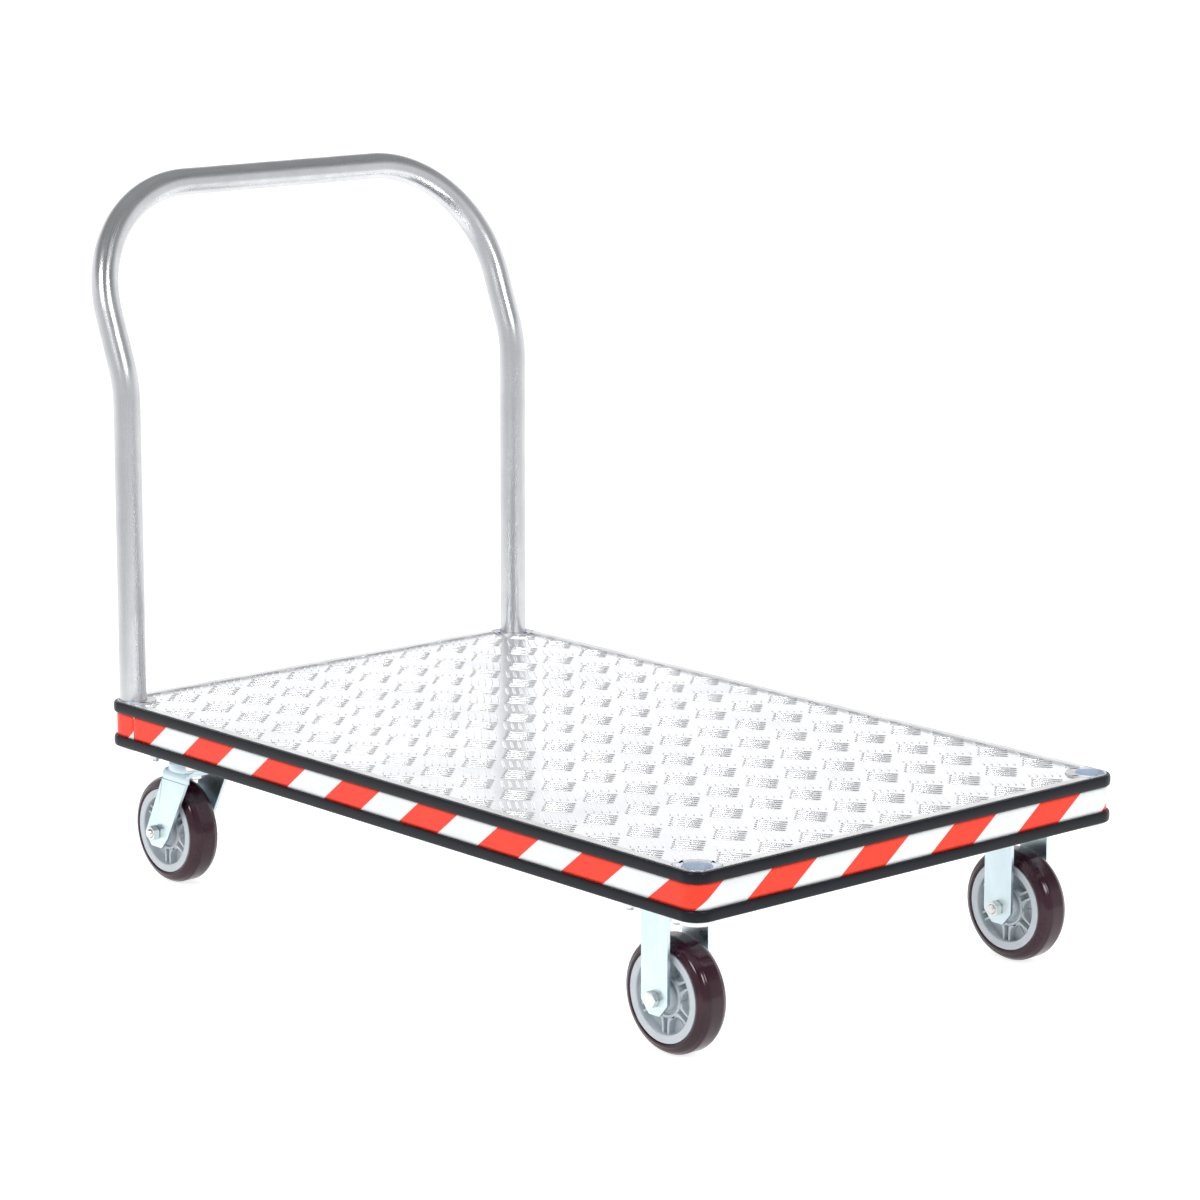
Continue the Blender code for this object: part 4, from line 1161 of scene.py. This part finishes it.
# ---------------------------------------------------------------- camera
AZ, EL, ROLL = math.radians(48.49), math.radians(11.77), math.radians(0.11)
back = Vector((math.sin(AZ) * math.cos(EL), -math.cos(AZ) * math.cos(EL), math.sin(EL)))
right = (-back).cross(Vector((0, 0, 1))).normalized()
up = right.cross(-back)
r2 = math.cos(ROLL) * right + math.sin(ROLL) * up
u2 = -math.sin(ROLL) * right + math.cos(ROLL) * up
cam_data = bpy.data.cameras.new("camera")
cam = bpy.data.objects.new("camera", cam_data)
scene.collection.objects.link(cam)
cam.matrix_world = Matrix((
    (r2.x, u2.x, back.x, 4.16660),
    (r2.y, u2.y, back.y, -3.63442),
    (r2.z, u2.z, back.z, 1.59720),
    (0, 0, 0, 1),
))
cam_data.lens = 123.77
cam_data.sensor_width = 36.0
cam_data.clip_end = 300.0
scene.camera = cam

# ---------------------------------------------------------------- floor, world and lights
floor_bm = bmesh.new()
bmesh.ops.create_circle(floor_bm, cap_ends=True, segments=96, radius=1.65)
floor = bpy.data.objects.new("floor", bpy.data.meshes.new("floor"))
floor_bm.to_mesh(floor.data)
floor_bm.free()
scene.collection.objects.link(floor)
n = Nodes("pale_floor")
speck = n.noise(n.mapped((1, 1, 1)), 3.0, 4.0, 0.5)
floor.data.materials.append(n.finish(Base_Color=n.mix(n.span(speck, 0.3, 0.7, 0.0, 1.0), (0.50, 0.50, 0.50), (0.51, 0.51, 0.51)), Roughness=0.75, Specular_IOR_Level=0.2,
                                      Emission_Color=(1.0, 1.0, 1.0, 1.0), Emission_Strength=0.80))

world = bpy.data.worlds.new("studio")
scene.world = world
world.use_nodes = True
tree = world.node_tree
tree.nodes.clear()
coord = tree.nodes.new("ShaderNodeTexCoord")
split = tree.nodes.new("ShaderNodeSeparateXYZ")
tree.links.new(coord.outputs["Generated"], split.inputs[0])
ramp = tree.nodes.new("ShaderNodeValToRGB")
ramp.color_ramp.interpolation = "EASE"
stops = ((0.0, 1.00), (0.28, 1.00), (0.42, 0.52), (0.60, 0.30), (0.85, 0.34), (1.0, 0.40))
while len(ramp.color_ramp.elements) < len(stops):
    ramp.color_ramp.elements.new(0.5)
for e, (at, value) in zip(ramp.color_ramp.elements, stops):
    e.position = at
    e.color = (value, value, value * 1.015, 1.0)
tree.links.new(split.outputs["Z"], ramp.inputs["Fac"])
# a bright sweep behind the truck, darker studio in front of it
side = tree.nodes.new("ShaderNodeVectorMath")
side.operation = "DOT_PRODUCT"
tree.links.new(coord.outputs["Generated"], side.inputs[0])
side.inputs[1].default_value = (-0.749, 0.663, 0.0)
dim = tree.nodes.new("ShaderNodeMapRange")
dim.interpolation_type = "SMOOTHSTEP"
dim.inputs["From Min"].default_value = -0.75
dim.inputs["From Max"].default_value = 0.75
dim.inputs["To Min"].default_value = 0.74
dim.inputs["To Max"].default_value = 1.22
tree.links.new(side.outputs["Value"], dim.inputs["Value"])
strength = tree.nodes.new("ShaderNodeMath")
strength.operation = "MULTIPLY"
tree.links.new(dim.outputs["Result"], strength.inputs[0])
strength.inputs[1].default_value = 1.0
background = tree.nodes.new("ShaderNodeBackground")
tree.links.new(ramp.outputs["Color"], background.inputs["Color"])
tree.links.new(strength.outputs["Value"], background.inputs["Strength"])
out = tree.nodes.new("ShaderNodeOutputWorld")
tree.links.new(background.outputs["Background"], out.inputs["Surface"])


def softbox(name, azimuth, elevation, power, angle):
    """A distant round softbox."""
    data = bpy.data.lights.new(name, "SUN")
    data.energy = power
    data.angle = math.radians(angle)
    made = bpy.data.objects.new(name, data)
    a, e = math.radians(azimuth), math.radians(elevation)
    toward = Vector((math.sin(a) * math.cos(e), -math.cos(a) * math.cos(e), math.sin(e)))
    made.rotation_mode = "QUATERNION"
    made.rotation_quaternion = toward.to_track_quat("Z", "Y")
    scene.collection.objects.link(made)
    return made


softbox("left_softbox", 14, 36, 0.95, 17)
softbox("right_softbox", 84, 34, 0.80, 15)
softbox("overhead_softbox", 200, 74, 2.10, 60).visible_glossy = False

scene.view_settings.view_transform = "Standard"
scene.view_settings.look = "None"
scene.view_settings.exposure = 0.0
scene.view_settings.gamma = 1.0
